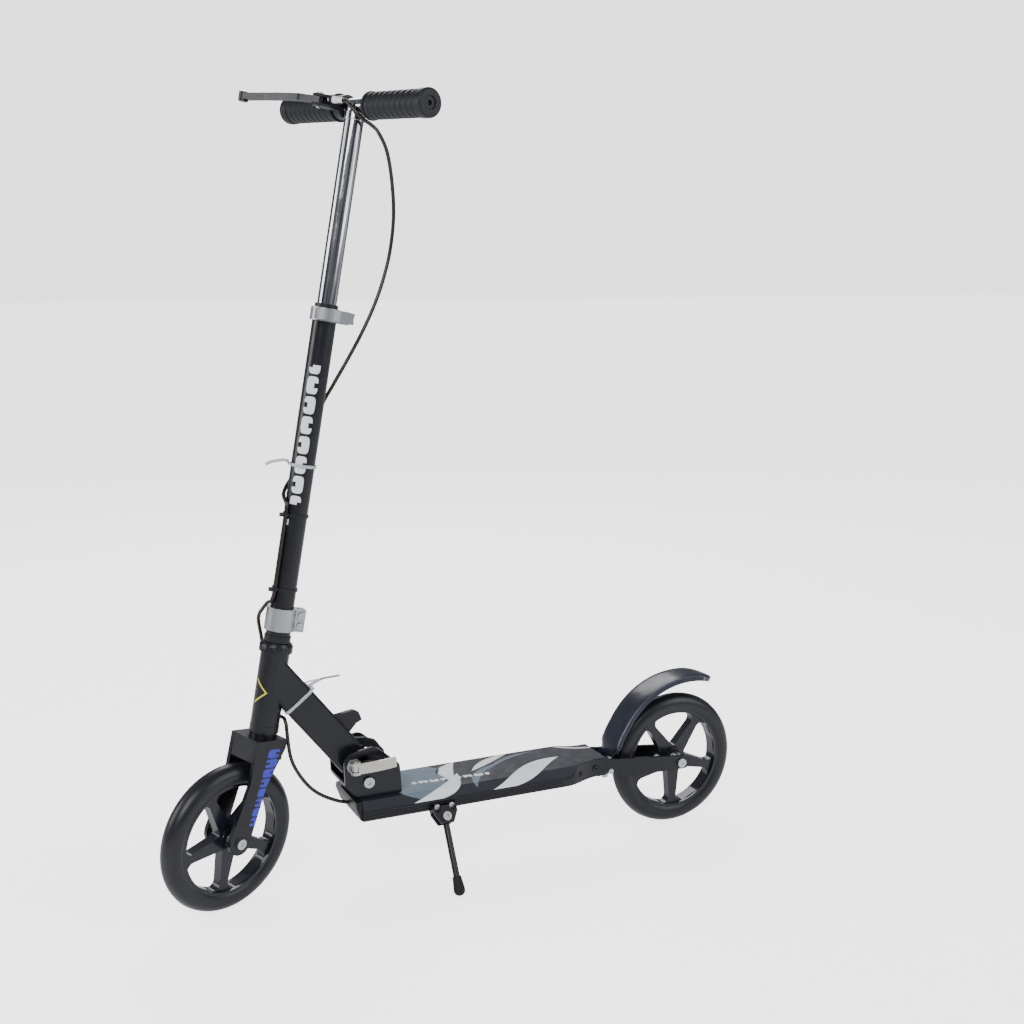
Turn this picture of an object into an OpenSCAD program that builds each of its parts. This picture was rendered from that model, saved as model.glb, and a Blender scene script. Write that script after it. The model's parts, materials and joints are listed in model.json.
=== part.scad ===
// Folding kick scooter with a hand brake, a foot brake and a kickstand.
// X points forward, Y to the rider's left and Z up. The origin is on the floor under
// the middle of the outer box, with the steering turned to its resting angle.

/* [Wheels] */
// Outer diameter of both wheels
wheel_d = 200; // [166:1:240]
// Width of the round tyres
tyre_w = 30; // [25:0.5:36]
// Distance between the axles with the steering straight
wheelbase = 687; // [640:1:830]

/* [Steering] */
// Lean of the steering axis from the vertical
rake = 10.2; // [8:0.1:14]
// Resting turn of the steering, to the left
steer_rest = 24; // [0:1:30]
// Turn of the handlebar on the fork, which sits a little askew
bar_turn = -6.5; // [-8:0.5:8]
// Distance of the front axle ahead of the steering axis
fork_offset = 35.5; // [30:0.5:45]
// Height of the handlebar along the steering axis
bar_height = 1049; // [920:1:1260]
// Length of the handlebar over the grips
bar_len = 302; // [290:1:365]
// Outer diameter of the black column tube
column_d = 31; // [26:0.5:38]
// Outer diameter of the bright stem tube
stem_d = 25; // [20:0.5:30]

/* [Deck] */
// Width of the deck
deck_w = 100; // [82:1:122]
// Thickness of the deck
deck_t = 26; // [22:1:32]
// Height of the deck's underside above the floor
deck_z = 102; // [96:1:110]
// Distance between the two side plates of the folding bracket, outside
bracket_w = 68; // [56:1:82]

/* [Hidden] */
$fn = 64;

run = 0.05;             // radial running clearance of a fit
gap = 0.3;              // clearance between parts that only pass each other
wheel_r = wheel_d / 2;
tyre_r = tyre_w / 2;
tread_r = wheel_r - tyre_r;
axle_d = 8;

// Rear axle, and the steering axis where it meets the floor.
rear_x = -wheelbase / 2;
straight_axle_k = (wheel_r - fork_offset * sin(rake)) / cos(rake);
axis_x = wheelbase / 2 - fork_offset * cos(rake) + straight_axle_k * sin(rake);

// The front axle is set so that the turned wheel still meets the floor.
side_lean = sin(steer_rest) * sin(rake);
front_axle_z = tread_r * sqrt(1 - side_lean * side_lean) + tyre_r;
axle_k = (front_axle_z - fork_offset * cos(steer_rest) * sin(rake)) / cos(rake);
turned_x = axis_x + fork_offset * cos(steer_rest) * cos(rake) - axle_k * sin(rake);
side_turn = sin(steer_rest) * cos(rake);
front_reach = turned_x + tread_r * sqrt(1 - side_turn * side_turn) + tyre_r;
origin_x = -(front_reach + rear_x - wheel_r) / 2;

// Stack along the steering axis, from the fork crown up.
crown_low = axle_k + wheel_r + 5;
crown_top = crown_low + 30;
cup_low = crown_top + 5;
head_low = cup_low + 10;
head_top = head_low + 98;
cup_top = head_top + 13;
clamp_low = cup_top + 16;
clamp_top = clamp_low + 30;
steerer_top = clamp_top + 22;
height_travel = 200;
stem_foot = steerer_top + height_travel + 8;
collar_low = stem_foot + 145;
collar_top = collar_low + 17;
column_r = column_d / 2;
steerer_d = column_d - 5;
column_bore = steerer_d + 0.2;
bar_d = 22;
head_r = steerer_d / 2 + 6;

// Deck outline and its levels, and the arms of the rear fork in it.
arm_in = 24;
arm_t = 6;
deck_half = deck_w / 2;
deck_top = deck_z + deck_t;
deck_front = axis_x - 160.4;
deck_back = rear_x + wheel_r + 29.5;
tail_half = arm_in + arm_t + 2;
tail_start = deck_back + 74;
tail_end = deck_back + 14;
deck_wall = 3;
shoulder_w = 6;
shoulder_h = 13;
web_y = 16;
cable_y = 10;

// Folding joint: pivot, and the skewer that rides in two curved slots.
pivot = [deck_front - 13.5, deck_top + 23];
skewer_r = 33.8;
skewer_a = 51.7;
fold_range = 78;
skewer_at = pivot + skewer_r * [cos(skewer_a), sin(skewer_a)];
plate_t = 4;
plate_in = bracket_w / 2 - plate_t;
sleeve_half = plate_in - gap;
lever_y = bracket_w / 2 + 12;

// Down tube between the tail and the head tube.
tail = pivot + [15, 27.5];
tube_end = [axis_x - 13.2 - (head_low + 54.5) * sin(rake), (head_low + 54.5) * cos(rake)];
tube_angle = atan2(tube_end[1] - tail[1], tube_end[0] - tail[0]);
tube_h = 44;
tube_w = 36.5;
tube_len = norm(tube_end - tail);

// Fender pivot pin and brake pad behind the deck.
pin_at = [rear_x + wheel_r + 19.5, wheel_r + 4.5];

// Kickstand.
stand_at = [51, deck_half + 8, deck_z - 10];
stand_lean = 31;
stand_foot_r = 8;
stand_len = (stand_at[2] - stand_foot_r) / cos(stand_lean);

// Brake cable. Two lengths that meet share the place and the way of their joint.
cable_d = 5;
adjuster_at = [27, -13, bar_height + 3];
adjuster_way = [-0.5, 0.866, 0];
adjuster_len = 13.4;
column_joint = wrap([225.4, 18.8, clamp_top + 197]);
column_way = [3, -3.5, -20];
steer_joint = [20.8, -9, clamp_top + 1];
steer_way = [1.9, -11, -17];
fold_joint = [axis_x - 70.1, 4, head_low - 4.5];
fold_way = [-0.1, 0.6, -0.8];
deck_joint = [deck_front + 7, cable_y, deck_z + 15];
deck_way = [-20, 0, -4];

// Points on the joint between two lengths of cable and a short way before and after it.
function before(joint, way) = [joint - 5 * unit(way), joint - 0.1 * unit(way)];
function after(joint, way) = [joint + 0.1 * unit(way), joint + 5 * unit(way)];
// A point at an angle and a distance from the column, as [angle, radius, height]; the
// radius suits the smallest column and grows with it.
function wrap(p) = (p[1] + column_r - 15.5) * [cos(p[0]), sin(p[0]), 0] + [0, 0, p[2]];
// Height on the stem, as a share of the way from the clamp to the handlebar.
function share(t) = clamp_top + t * (bar_height - clamp_top);

top_route = concat([for (p = concat(after(adjuster_at + adjuster_len * adjuster_way, adjuster_way),
        [[14.5, 11.5, bar_height - 4], [4, 21, bar_height - 15], [-14, 20, bar_height - 20]]))
        from_bar(p)],
    [[-32, 14, bar_height - 25], [-56, 8, bar_height - 43], [-76, 4, bar_height - 77],
     [-90, 2, share(0.816)], [-95, 0, share(0.748)], [-91, 0, share(0.689)],
     [-82, 0, share(0.632)], [-68, -1, share(0.571)], [-52, -3, share(0.513)],
     [-37, -6, share(0.46)], [-24, -10, share(0.406)]], before(column_joint, column_way));
column_route = concat(after(column_joint, column_way),
    [for (p = [[251.5, 19.2, 177], [288.6, 19.2, 159], [324.6, 19.2, 147],
        [358, 19, 139], [366.1, 18.9, 131],
        [367.6, 19, 73], [366.1, 18.9, 16]]) wrap([p[0], p[1], clamp_top + p[2]])],
    before(steer_joint, steer_way));
head_route = concat([for (p = after(steer_joint, steer_way)) from_steer(p)],
    [for (p = [[-43.4, -15, 136.5], [-49.4, -27, 106.5], [-53.4, -27, 74.5], [-57.4, -26, 42.5],
        [-61.4, -25.5, 17], [-66, -15, 1]]) p + [axis_x, 0, head_low]],
    before(fold_joint, fold_way));
low_route = concat(after(fold_joint, fold_way),
    [for (p = [[103.5, 9.5, 77], [98.5, 10, 38], [82.5, 10, 6.5], [63.5, 10, -14],
        [40.5, 10, -27.5]]) p + [pivot[0], 0, pivot[1]]], before(deck_joint, deck_way));
deck_route = concat(after(deck_joint, deck_way), [[deck_front - 15, cable_y, deck_z + 13],
    [0, cable_y, deck_z + 13], [deck_back + 64, cable_y, deck_z + 12],
    [deck_back + 34, cable_y, deck_z + 6], [deck_back + 14, cable_y, deck_z - 4],
    [deck_back - 2, cable_y, deck_z - 8]]);
tie_heights = [clamp_top + 25, clamp_top + 123];

// ---- Frames and plain shapes ----

// Places children, drawn about the middle of the wheelbase, in the part's own frame.
module placed() {
    translate([origin_x, 0, 0]) children();
}

// Head frame: X forward across the steering axis, Y left, Z up the axis from the floor.
module on_head() {
    placed() translate([axis_x, 0, 0]) rotate([0, -rake, 0]) children();
}

// The same, turned with the fork.
module on_steer() {
    on_head() rotate([0, 0, steer_rest]) children();
}

// The same, turned with the handlebar.
module on_bar() {
    on_steer() rotate([0, 0, bar_turn]) children();
}

// A point of the handlebar in the frame turned with the fork.
function from_bar(p) = [p[0] * cos(bar_turn) - p[1] * sin(bar_turn),
    p[0] * sin(bar_turn) + p[1] * cos(bar_turn), p[2]];

// A point of the turned frame in the frame about the middle of the wheelbase.
function from_steer(p) =
    let (i = p[0] * cos(steer_rest) - p[1] * sin(steer_rest),
         j = p[0] * sin(steer_rest) + p[1] * cos(steer_rest))
    [axis_x + i * cos(rake) - p[2] * sin(rake), j, i * sin(rake) + p[2] * cos(rake)];

// Lays an outline drawn in X and Z flat against the Y axis, centred, t thick.
module slab(t) {
    rotate([90, 0, 0]) linear_extrude(t, center = true) children();
}

// A round bar along Y, centred at p in X and Z.
module rod_y(p, d, y0, y1) {
    translate([p[0], y1, p[1]]) rotate([90, 0, 0]) cylinder(d = d, h = y1 - y0);
}

module rounded(w, h, r) {
    square([w - 2 * r, h], center = true);
    square([w, h - 2 * r], center = true);
    for (x = [-1, 1], y = [-1, 1]) translate([x * (w / 2 - r), y * (h / 2 - r)]) circle(r);
}

module ring(d_out, d_in, h) {
    difference() {
        cylinder(d = d_out, h = h);
        translate([0, 0, -1]) cylinder(d = d_in, h = h + 2);
    }
}

// Pan screw head with a six-sided socket, its seat at z = 0.
module screw(d, len, head_d, head_h) {
    difference() {
        union() {
            cylinder(d = head_d, h = head_h);
            translate([0, 0, -len]) cylinder(d = d, h = len + 1);
        }
        translate([0, 0, head_h - 1.6]) cylinder(d = d * 0.7, h = 3, $fn = 6);
    }
}

module nut(across, h, bore) {
    difference() {
        cylinder(d = across / cos(30), h = h, $fn = 6);
        translate([0, 0, -1]) cylinder(d = bore, h = h + 2);
    }
}

// ---- Swept cable ----

function unit(v) = v / norm(v);
function spline(a, b, c, d, t) =
    0.5 * (2 * b + (c - a) * t + (2 * a - 5 * b + 4 * c - d) * t * t
        + (3 * b - a - 3 * c + d) * t * t * t);
function at(route, n) = route[max(0, min(len(route) - 1, n))];
function smooth(route, steps) = concat(
    [for (s = [0 : len(route) - 2], k = [0 : steps[s] - 1])
        spline(at(route, s - 1), at(route, s), at(route, s + 1), at(route, s + 2), k / steps[s])],
    [route[len(route) - 1]]);
function steps_for(route, pitch) =
    [for (s = [0 : len(route) - 2]) max(1, round(norm(route[s + 1] - route[s]) / pitch))];

// A tube of diameter d along a route, in one piece with flat ends. The ring's first
// direction leans on ref, which the route never runs along.
module cable(route, d, pitch, ref) {
    path = smooth(route, steps_for(route, pitch));
    sides = 10;
    last = len(path) - 1;
    tangents = [for (n = [0 : last]) unit(path[min(last, n + 1)] - path[max(0, n - 1)])];
    rings = [for (n = [0 : last])
        let (u = unit(cross(tangents[n], ref)), v = cross(tangents[n], u))
        for (s = [0 : sides - 1])
            path[n] + d / 2 * (cos(s * 360 / sides) * u + sin(s * 360 / sides) * v)];
    sleeve = [for (n = [0 : last - 1], s = [0 : sides - 1])
        [n * sides + s, (n + 1) * sides + s,
         (n + 1) * sides + (s + 1) % sides, n * sides + (s + 1) % sides]];
    ends = [[for (s = [0 : sides - 1]) s],
        [for (s = [sides - 1 : -1 : 0]) last * sides + s]];
    polyhedron(rings, concat(sleeve, ends));
}

// ---- Wheels ----

bearing_d = 22;
bearing_t = 7;
hub_w = 24;
hub_d = 34;
rim_w = 24;
rim_in = wheel_r * 0.72;
seat_r = tread_r - 9;

// Window between two spokes, rounded at its three corners.
module window() {
    hull() {
        translate([24, 0]) circle(4, $fn = 24);
        for (a = [-21, 21]) rotate(a) translate([rim_in - 10, 0]) circle(10, $fn = 32);
        translate([rim_in - 10.5, 0]) circle(10.5, $fn = 32);
    }
}

module rim() {
    rotate([90, 0, 0]) difference() {
        union() {
            translate([0, 0, -rim_w / 2]) ring(2 * seat_r, 2 * rim_in, rim_w);
            cylinder(d = hub_d, h = hub_w, center = true);
            linear_extrude(15, center = true) difference() {
                circle(rim_in + 1);
                for (n = [0 : 4]) rotate(n * 72 + 18) window();
            }
        }
        for (s = [-1, 1]) translate([0, 0, s * (hub_w - bearing_t + 1) / 2])
            cylinder(d = bearing_d, h = bearing_t + 1, center = true);
        cylinder(d = 17, h = hub_w, center = true);
    }
}

module tyre() {
    rotate([90, 0, 0]) rotate_extrude($fn = 96) intersection() {
        translate([tread_r, 0]) circle(tyre_r);
        translate([seat_r, -tyre_w]) square([2 * tyre_w, 2 * tyre_w]);
    }
}

module bearings() {
    for (s = [-1, 1]) translate([0, s * (hub_w - bearing_t) / 2, 0]) rotate([90, 0, 0])
        difference() {
            cylinder(d = bearing_d, h = bearing_t, center = true);
            cylinder(d = axle_d + 2 * run, h = bearing_t + 1, center = true);
            for (f = [-1, 1]) translate([0, 0, f * bearing_t / 2]) rotate_extrude()
                translate([6.5, -0.4]) square([2.6, 0.8]);
        }
}

// Tubes on the axle: one between the bearings and one on each side, out to side.
module spacers(side) {
    inner = hub_w - 2 * bearing_t - 2 * run;
    rotate([90, 0, 0]) {
        translate([0, 0, -inner / 2]) ring(12, axle_d, inner);
        for (s = [0, 180]) rotate([s, 0, 0]) translate([0, 0, hub_w / 2 + run])
            ring(13, axle_d, side - hub_w / 2 - run);
    }
}

module axle_bolt(half) {
    rotate([-90, 0, 0]) translate([0, 0, half]) screw(axle_d, 2 * half + 8, 14, 4.5);
}

module axle_nut(half) {
    translate([0, -half, 0]) rotate([90, 0, 0]) nut(13, 7, axle_d);
}

leg_in = 22;
leg_out = 28;

module at_front_axle() {
    on_steer() translate([fork_offset, 0, axle_k]) children();
}

module at_rear_axle() {
    placed() translate([rear_x, 0, wheel_r]) children();
}

module front_rim() { color("#2b2d36") at_front_axle() rim(); }
module front_tyre() { color("#24262e") at_front_axle() tyre(); }
module front_bearings() { color("#b9bdc2") at_front_axle() bearings(); }
module front_spacers() { color("#9a9ea4") at_front_axle() spacers(leg_in); }
module front_axle() { color("#c3c6ca") at_front_axle() axle_bolt(leg_out); }
module front_axle_nut() { color("#c3c6ca") at_front_axle() axle_nut(leg_out); }
module rear_rim() { color("#2b2d36") at_rear_axle() rim(); }
module rear_tyre() { color("#24262e") at_rear_axle() tyre(); }
module rear_bearings() { color("#b9bdc2") at_rear_axle() bearings(); }
module rear_spacers() { color("#9a9ea4") at_rear_axle() spacers(arm_in); }
module rear_axle() { color("#c3c6ca") at_rear_axle() axle_bolt(arm_in + arm_t); }
module rear_axle_nut() { color("#c3c6ca") at_rear_axle() axle_nut(arm_in + arm_t); }

// ---- Deck ----

function ease(t) = (1 - cos(180 * t)) / 2;
function deck_edge(inset) = concat(
    [[deck_front, deck_half - inset]],
    [for (n = [0 : 8]) [tail_start + (tail_end - tail_start) * n / 8,
        deck_half - inset - (deck_half - tail_half) * ease(n / 8)]],
    [[deck_back, tail_half - inset]]);
function mirrored(line) = concat(line,
    [for (n = [len(line) - 1 : -1 : 0]) [line[n][0], -line[n][1]]]);

// What the sloping shoulders take off both top edges of the deck.
module shoulders() {
    foot = [deck_half, deck_top - shoulder_h];
    slope = [-shoulder_w, shoulder_h];
    for (s = [0, 1]) mirror([0, s, 0]) translate([deck_back - 5, 0, 0]) rotate([90, 0, 90])
        linear_extrude(deck_front - deck_back + 20)
            polygon([foot + 1.2 * slope, foot - 0.4 * slope, foot + [10, 0],
                foot + [10, shoulder_h + 3]]);
}

module deck() {
    side_in = web_y + 1.3;
    side_out = deck_half - 8.5;
    color("#1c1d24") placed() difference() {
        translate([0, 0, deck_z]) linear_extrude(deck_t) polygon(mirrored(deck_edge(0)));
        // Middle channel for the cable, and a channel in each side for the rear fork's arms.
        translate([deck_back - 1, -web_y + 1.3, deck_z + deck_wall])
            cube([deck_front - deck_back + 2, 2 * (web_y - 1.3), deck_t - 2 * deck_wall]);
        for (s = [-1, 1]) {
            translate([deck_back - 1, s < 0 ? -arm_in - arm_t : arm_in, deck_z + deck_wall])
                cube([75, arm_t, deck_t - 2 * deck_wall]);
            translate([deck_back + 85, s < 0 ? -side_out : side_in, deck_z + deck_wall])
                cube([deck_front - deck_back - 84, side_out - side_in, deck_t - 2 * deck_wall]);
            // Long grooves in both sides of the section.
            for (z = [3.4, 6.2, 9]) translate([tail_start + 6, s * deck_half - 0.8, deck_z + z])
                cube([deck_front - tail_start, 1.6, 1.2]);
        }
        shoulders();
        // Slot in the underside where the cable comes out.
        translate([deck_back + 2, cable_y - 4, deck_z - 1]) cube([40, 8, deck_wall + 2]);
        // Holes for the bracket screws, the arm screws and the kickstand screws.
        for (x = bracket_screw_x, y = bracket_screw_y)
            translate([x, y, deck_top - deck_wall - 1]) cylinder(d = 6, h = deck_wall + 2);
        for (n = [0, 1]) {
            rod_y([arm_screw_x[n], arm_screw_z], 5, -deck_half - 1, deck_half + 1);
            for (s = [0, 180]) rotate([0, 0, s]) rod_y([(s == 0 ? 1 : -1) * arm_screw_x[n],
                arm_screw_z], 9, arm_screw_seat[n], deck_half + 1);
        }
        for (x = stand_screw_x) rod_y([x, stand_screw_z], 5, deck_half - 5, deck_half + 1);
    }
}

bracket_screw_x = [pivot[0] - 39.5, pivot[0] - 13.5];
bracket_screw_y = [-22, 22];
arm_screw_x = [deck_back + 47.8, deck_back + 17.8];
arm_screw_seat = [tail_half + 8, tail_half - 0.5];
arm_screw_z = deck_z + deck_t / 2;
stand_screw_x = [stand_at[0] - 11.5, stand_at[0] + 10];
stand_screw_z = deck_z + 5;

grip_t = 1;

// Printed grip sheet on the deck, clear of the folding bracket.
module deck_grip() {
    color("#3a3d49") placed() translate([0, 0, deck_top]) linear_extrude(grip_t)
        difference() {
            intersection() {
                polygon(mirrored(deck_edge(1.5)));
                square([2 * wheelbase, deck_w - 2 * shoulder_w - 1], center = true);
            }
            translate([pivot[0] - 52, -bracket_w / 2 - 1]) square([100, bracket_w + 2]);
            translate([deck_front - 1, -deck_w]) square([20, 2 * deck_w]);
            translate([deck_back - 1, -deck_w]) square([2.5, 2 * deck_w]);
        }
}

// Sloping cap on the front of the deck, with the hole where the cable goes in.
module deck_nose() {
    outline = [[deck_front, deck_z], [deck_front, deck_top], [deck_front + 8, deck_top],
        [deck_front + 8, deck_top - 8], [deck_front + 1.5, deck_z]];
    color("#1a1b21") placed() difference() {
        union() {
            slab(deck_w - 6) polygon(outline);
            translate([deck_front - 8, -web_y + 1.6, deck_z + deck_wall + gap])
                cube([9, 2 * web_y - 3.2, deck_t - 2 * deck_wall - 2 * gap]);
        }
        shoulders();
        translate([deck_front - 10, cable_y, deck_z + 14]) rotate([0, 90, 0])
            cylinder(d = 7.5, h = 30);
    }
}

// ---- Folding bracket ----

// Rounded outline of a side plate.
module plate_outline() {
    hull() {
        translate(pivot - [44.5, 19]) circle(3, $fn = 24);
        translate(pivot + [-32.5, 13]) circle(13, $fn = 48);
        translate(pivot + [-5, 32]) circle(16, $fn = 48);
        translate(pivot + [18.5, 29]) circle(15, $fn = 48);
        translate(pivot + [26.5, 1]) circle(6, $fn = 32);
        translate(pivot + [11.5, -19]) circle(3, $fn = 24);
    }
}

module plate() {
    difference() {
        slab(plate_t) plate_outline();
        rod_y(pivot, axle_d, -plate_t, plate_t);
        translate([pivot[0], 0, pivot[1]]) rotate([90, 0, 0]) {
            rotate([0, 0, skewer_a]) rotate_extrude(angle = fold_range)
                translate([skewer_r - axle_d / 2 - 0.2, -plate_t])
                    square([axle_d + 0.4, 2 * plate_t]);
            for (a = [skewer_a, skewer_a + fold_range]) rotate([0, 0, a])
                translate([skewer_r, 0, -plate_t]) cylinder(d = axle_d + 0.4, h = 2 * plate_t);
        }
    }
}

module fold_bracket() {
    base_t = 4;
    base_y = plate_in + 0.5;
    color("#191a20") placed() {
        difference() {
            union() {
                for (s = [-1, 1]) translate([0, s * (plate_in + plate_t / 2), 0]) plate();
                translate([pivot[0] - 47.5, -base_y, deck_top]) cube([60, 2 * base_y, base_t]);
                // Sloping front wall below the down tube.
                slab(2 * base_y) translate(pivot) polygon([[11.5, -23], [15.5, -23],
                    [32.5, -3], [32.5, 1], [29, 1], [11.5, -19]]);
            }
            for (x = bracket_screw_x, y = bracket_screw_y)
                translate([x, y, deck_top - 1]) cylinder(d = 6, h = base_t + 2);
        }
    }
}

module bracket_screws() {
    color("#8c9096") placed() for (x = bracket_screw_x, y = bracket_screw_y)
        translate([x, y, deck_top + 4]) screw(6, 14, 10, 2.6);
}

module pivot_bolt() {
    color("#d0d2d4") placed() translate([pivot[0], bracket_w / 2, pivot[1]])
        rotate([-90, 0, 0]) screw(axle_d, bracket_w + 7, 15, 4.5);
}

module pivot_nut() {
    color("#c3c6ca") placed() translate([pivot[0], -bracket_w / 2, pivot[1]])
        rotate([90, 0, 0]) nut(13, 6, axle_d);
}

// ---- Rear fork ----

module rear_fork() {
    start_x = deck_back + 73;
    mid_x = deck_back - 12;
    rise = 10;
    color("#1c1d24") placed() difference() {
        for (s = [-1, 1]) translate([0, s * (arm_in + arm_t / 2), 0]) slab(arm_t) {
            polygon([[start_x, deck_z + deck_wall], [start_x, deck_top - deck_wall],
                [deck_back - 1, deck_top - deck_wall], [mid_x, deck_top - 5],
                [rear_x, wheel_r + rise], [rear_x - 6, wheel_r + rise],
                [rear_x - 6, wheel_r - rise], [rear_x, wheel_r - rise],
                [mid_x - 20, wheel_r - 7], [deck_back - 8, deck_z + deck_wall]]);
            translate([rear_x - 6, wheel_r]) circle(rise);
        }
        rod_y([rear_x, wheel_r], axle_d, -50, 50);
        rod_y(pin_at, 8, -50, 50);
        for (x = arm_screw_x) rod_y([x, arm_screw_z], 5, -50, 50);
    }
}

module fork_arm_screws() {
    color("#1c1d24") placed() for (n = [0, 1], s = [-1, 1])
        translate([arm_screw_x[n], s * arm_screw_seat[n], arm_screw_z]) rotate([s * -90, 0, 0])
            screw(5, arm_screw_seat[n] - arm_in - 1, 8.5, 2.4);
}

module rear_pin() {
    color("#9a9ea4") placed() rod_y(pin_at, 8, -arm_in - arm_t, arm_in + arm_t);
}

// ---- Fender and brakes ----

fender_w = 52;
fender_foot_w = 40;      // between the arms of the rear fork
fender_t = 2;
fender_start = 10;
fender_wide = 18;         // where it swells over the arms
fender_end = 118;
function crown_radius(a) = wheel_r + 14.5 + (a < 35 ? 0 : 26 * pow((a - 35) / 85, 1.15));
skirt_h = 5;
function polar(a, r) = [rear_x + r * cos(a), wheel_r + r * sin(a)];

// One stretch of the fender between two angles: its crown and the lips along its edges.
module fender_band(w, first, last) {
    angles = [for (n = [0 : 25]) first + (last - first) * n / 25];
    crown = [for (a = angles) polar(a, crown_radius(a))];
    under = [for (n = [25 : -1 : 0]) polar(angles[n], crown_radius(angles[n]) - fender_t)];
    lip = [for (n = [25 : -1 : 0]) polar(angles[n], crown_radius(angles[n]) - skirt_h)];
    slab(w) polygon(concat(crown, under));
    for (s = [-1, 1]) translate([0, s * (w - fender_t) / 2, 0]) slab(fender_t)
        polygon(concat(crown, lip));
}

module fender() {
    color("#262833") placed() difference() {
        union() {
            fender_band(fender_w, fender_wide, fender_end);
            fender_band(fender_foot_w, fender_start, fender_wide);
            for (s = [-1, 1]) translate([0, s * (fender_foot_w - fender_t) / 2, 0])
                slab(fender_t) {
                    polygon([polar(fender_start + 4, wheel_r - 14),
                        [pin_at[0] - 6, pin_at[1] - 4], pin_at, [pin_at[0] + 5, pin_at[1] + 4],
                        polar(fender_start + 3, crown_radius(0) - 1)]);
                    translate(pin_at) circle(7);
                }
        }
        rod_y(pin_at, 8 + 2 * run, -fender_w, fender_w);
    }
}

// Coiled return spring of the fender, round its pin.
module fender_spring() {
    color("#b9bdc2") placed() for (y = [14.4, 15.8, 17.2]) translate([pin_at[0], y, pin_at[1]])
        rotate([90, 0, 0]) rotate_extrude() translate([5.2, 0]) circle(0.65, $fn = 20);
}

// Hand brake arm: pivots on the same pin and presses its pad on the tyre.
module brake_arm() {
    pad_face = rear_x + sqrt(wheel_r * wheel_r - 100) + 1.2;
    color("#32343d") placed() difference() {
        union() {
            rod_y(pin_at, 12.5, -13.2, 13.2);
            slab(18) polygon([[pad_face, pin_at[1] + 1.5], [pad_face, pin_at[1] + 11.5],
                [pad_face + 9, pin_at[1] + 11.5], pin_at + [0, 6], pin_at - [4, 1]]);
            translate([0, cable_y, 0]) slab(6) polygon([pin_at + [-6, 0], pin_at + [6, 0],
                pin_at + [4, -15], pin_at + [-3, -15]]);
        }
        rod_y(pin_at, 8 + 2 * run, -20, 20);
    }
}

// ---- Kickstand ----

module at_stand() {
    placed() translate(stand_at) rotate([stand_lean, 0, 0]) children();
}

module kickstand_bracket() {
    cheek_in = 5.3;
    cheek_t = 3.7;
    color("#17181d") difference() {
        union() {
            at_stand() {
                for (s = [-1, 1]) translate([0, s * (cheek_in + cheek_t / 2), 0]) slab(cheek_t)
                    polygon([[-17, 14], [17, 14], [17, 6], [9, -9], [-9, -9], [-17, 6]]);
                translate([-17, -cheek_in - cheek_t, 9.6])
                    cube([34, 2 * (cheek_in + cheek_t), 6]);
            }
            placed() translate([stand_at[0] - 17, deck_half, deck_z - 3]) cube([34, 3, 13]);
            placed() translate([stand_at[0] - 17, deck_half - 12, deck_z - 4])
                cube([34, 14, 4]);
        }
        placed() translate([stand_at[0] - 50, -deck_half, deck_z]) cube([100, 2 * deck_half, deck_t]);
        at_stand() rod_y([0, 0], 8, -20, 20);
        at_stand() rod_y([0, 0], 19, -cheek_in, cheek_in);
        // Screw holes, and room for the heads and the key.
        placed() for (x = stand_screw_x) {
            rod_y([x, stand_screw_z], 5, deck_half - 7, deck_half + 13);
            rod_y([x, stand_screw_z], 9.4, deck_half + 3, deck_half + 30);
        }
    }
}

module kickstand_screws() {
    color("#d0d2d4") placed() for (x = stand_screw_x)
        translate([x, deck_half + 3, stand_screw_z]) rotate([-90, 0, 0]) screw(5, 7.5, 8.5, 2.4);
}

module kickstand_pin() {
    color("#8c9096") at_stand() translate([0, 9, 0]) rotate([-90, 0, 0]) screw(8, 22, 12, 3);
}

module kickstand_leg() {
    color("#2b2c31") at_stand() difference() {
        union() {
            rod_y([0, 0], 18, -5, 5);
            translate([0, 0, -stand_len + 8]) cylinder(d = 9, h = stand_len - 8);
        }
        rod_y([0, 0], 8 + 2 * run, -20, 20);
    }
}

module kickstand_foot() {
    color("#101115") at_stand() difference() {
        translate([0, 0, -stand_len]) {
            sphere(stand_foot_r);
            cylinder(d1 = 2 * stand_foot_r, d2 = 12, h = 18, $fn = 64);
        }
        translate([0, 0, -stand_len + 8]) cylinder(d = 9, h = 30);
    }
}

// ---- Front frame ----

// Frame along the down tube: X up the tube, Z out of its upper face.
module on_tube() {
    placed() translate([tail[0], 0, tail[1]]) rotate([0, -tube_angle, 0]) children();
}

module tube_section(w, h, r, x0, x1) {
    translate([x0, 0, 0]) rotate([90, 0, 90]) linear_extrude(x1 - x0) rounded(w, h, r);
}

// Catch with a round mouth, welded on top of the down tube.
module hook_outline() {
    difference() {
        union() {
            polygon([[42.5, 83], [35.5, 89], [9.5, 93], [1.5, 89], [-2.5, 78], [5.5, 74],
                [20.5, 57]]);
            polygon([[28.5, 61], [8.5, 53], [-5.5, 52], [-21.5, 46], [-27.5, 38], [-21.5, 35],
                [-1.5, 39], [20.5, 41]]);
        }
        translate([-4.5, 63]) circle(11);
    }
}

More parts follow.
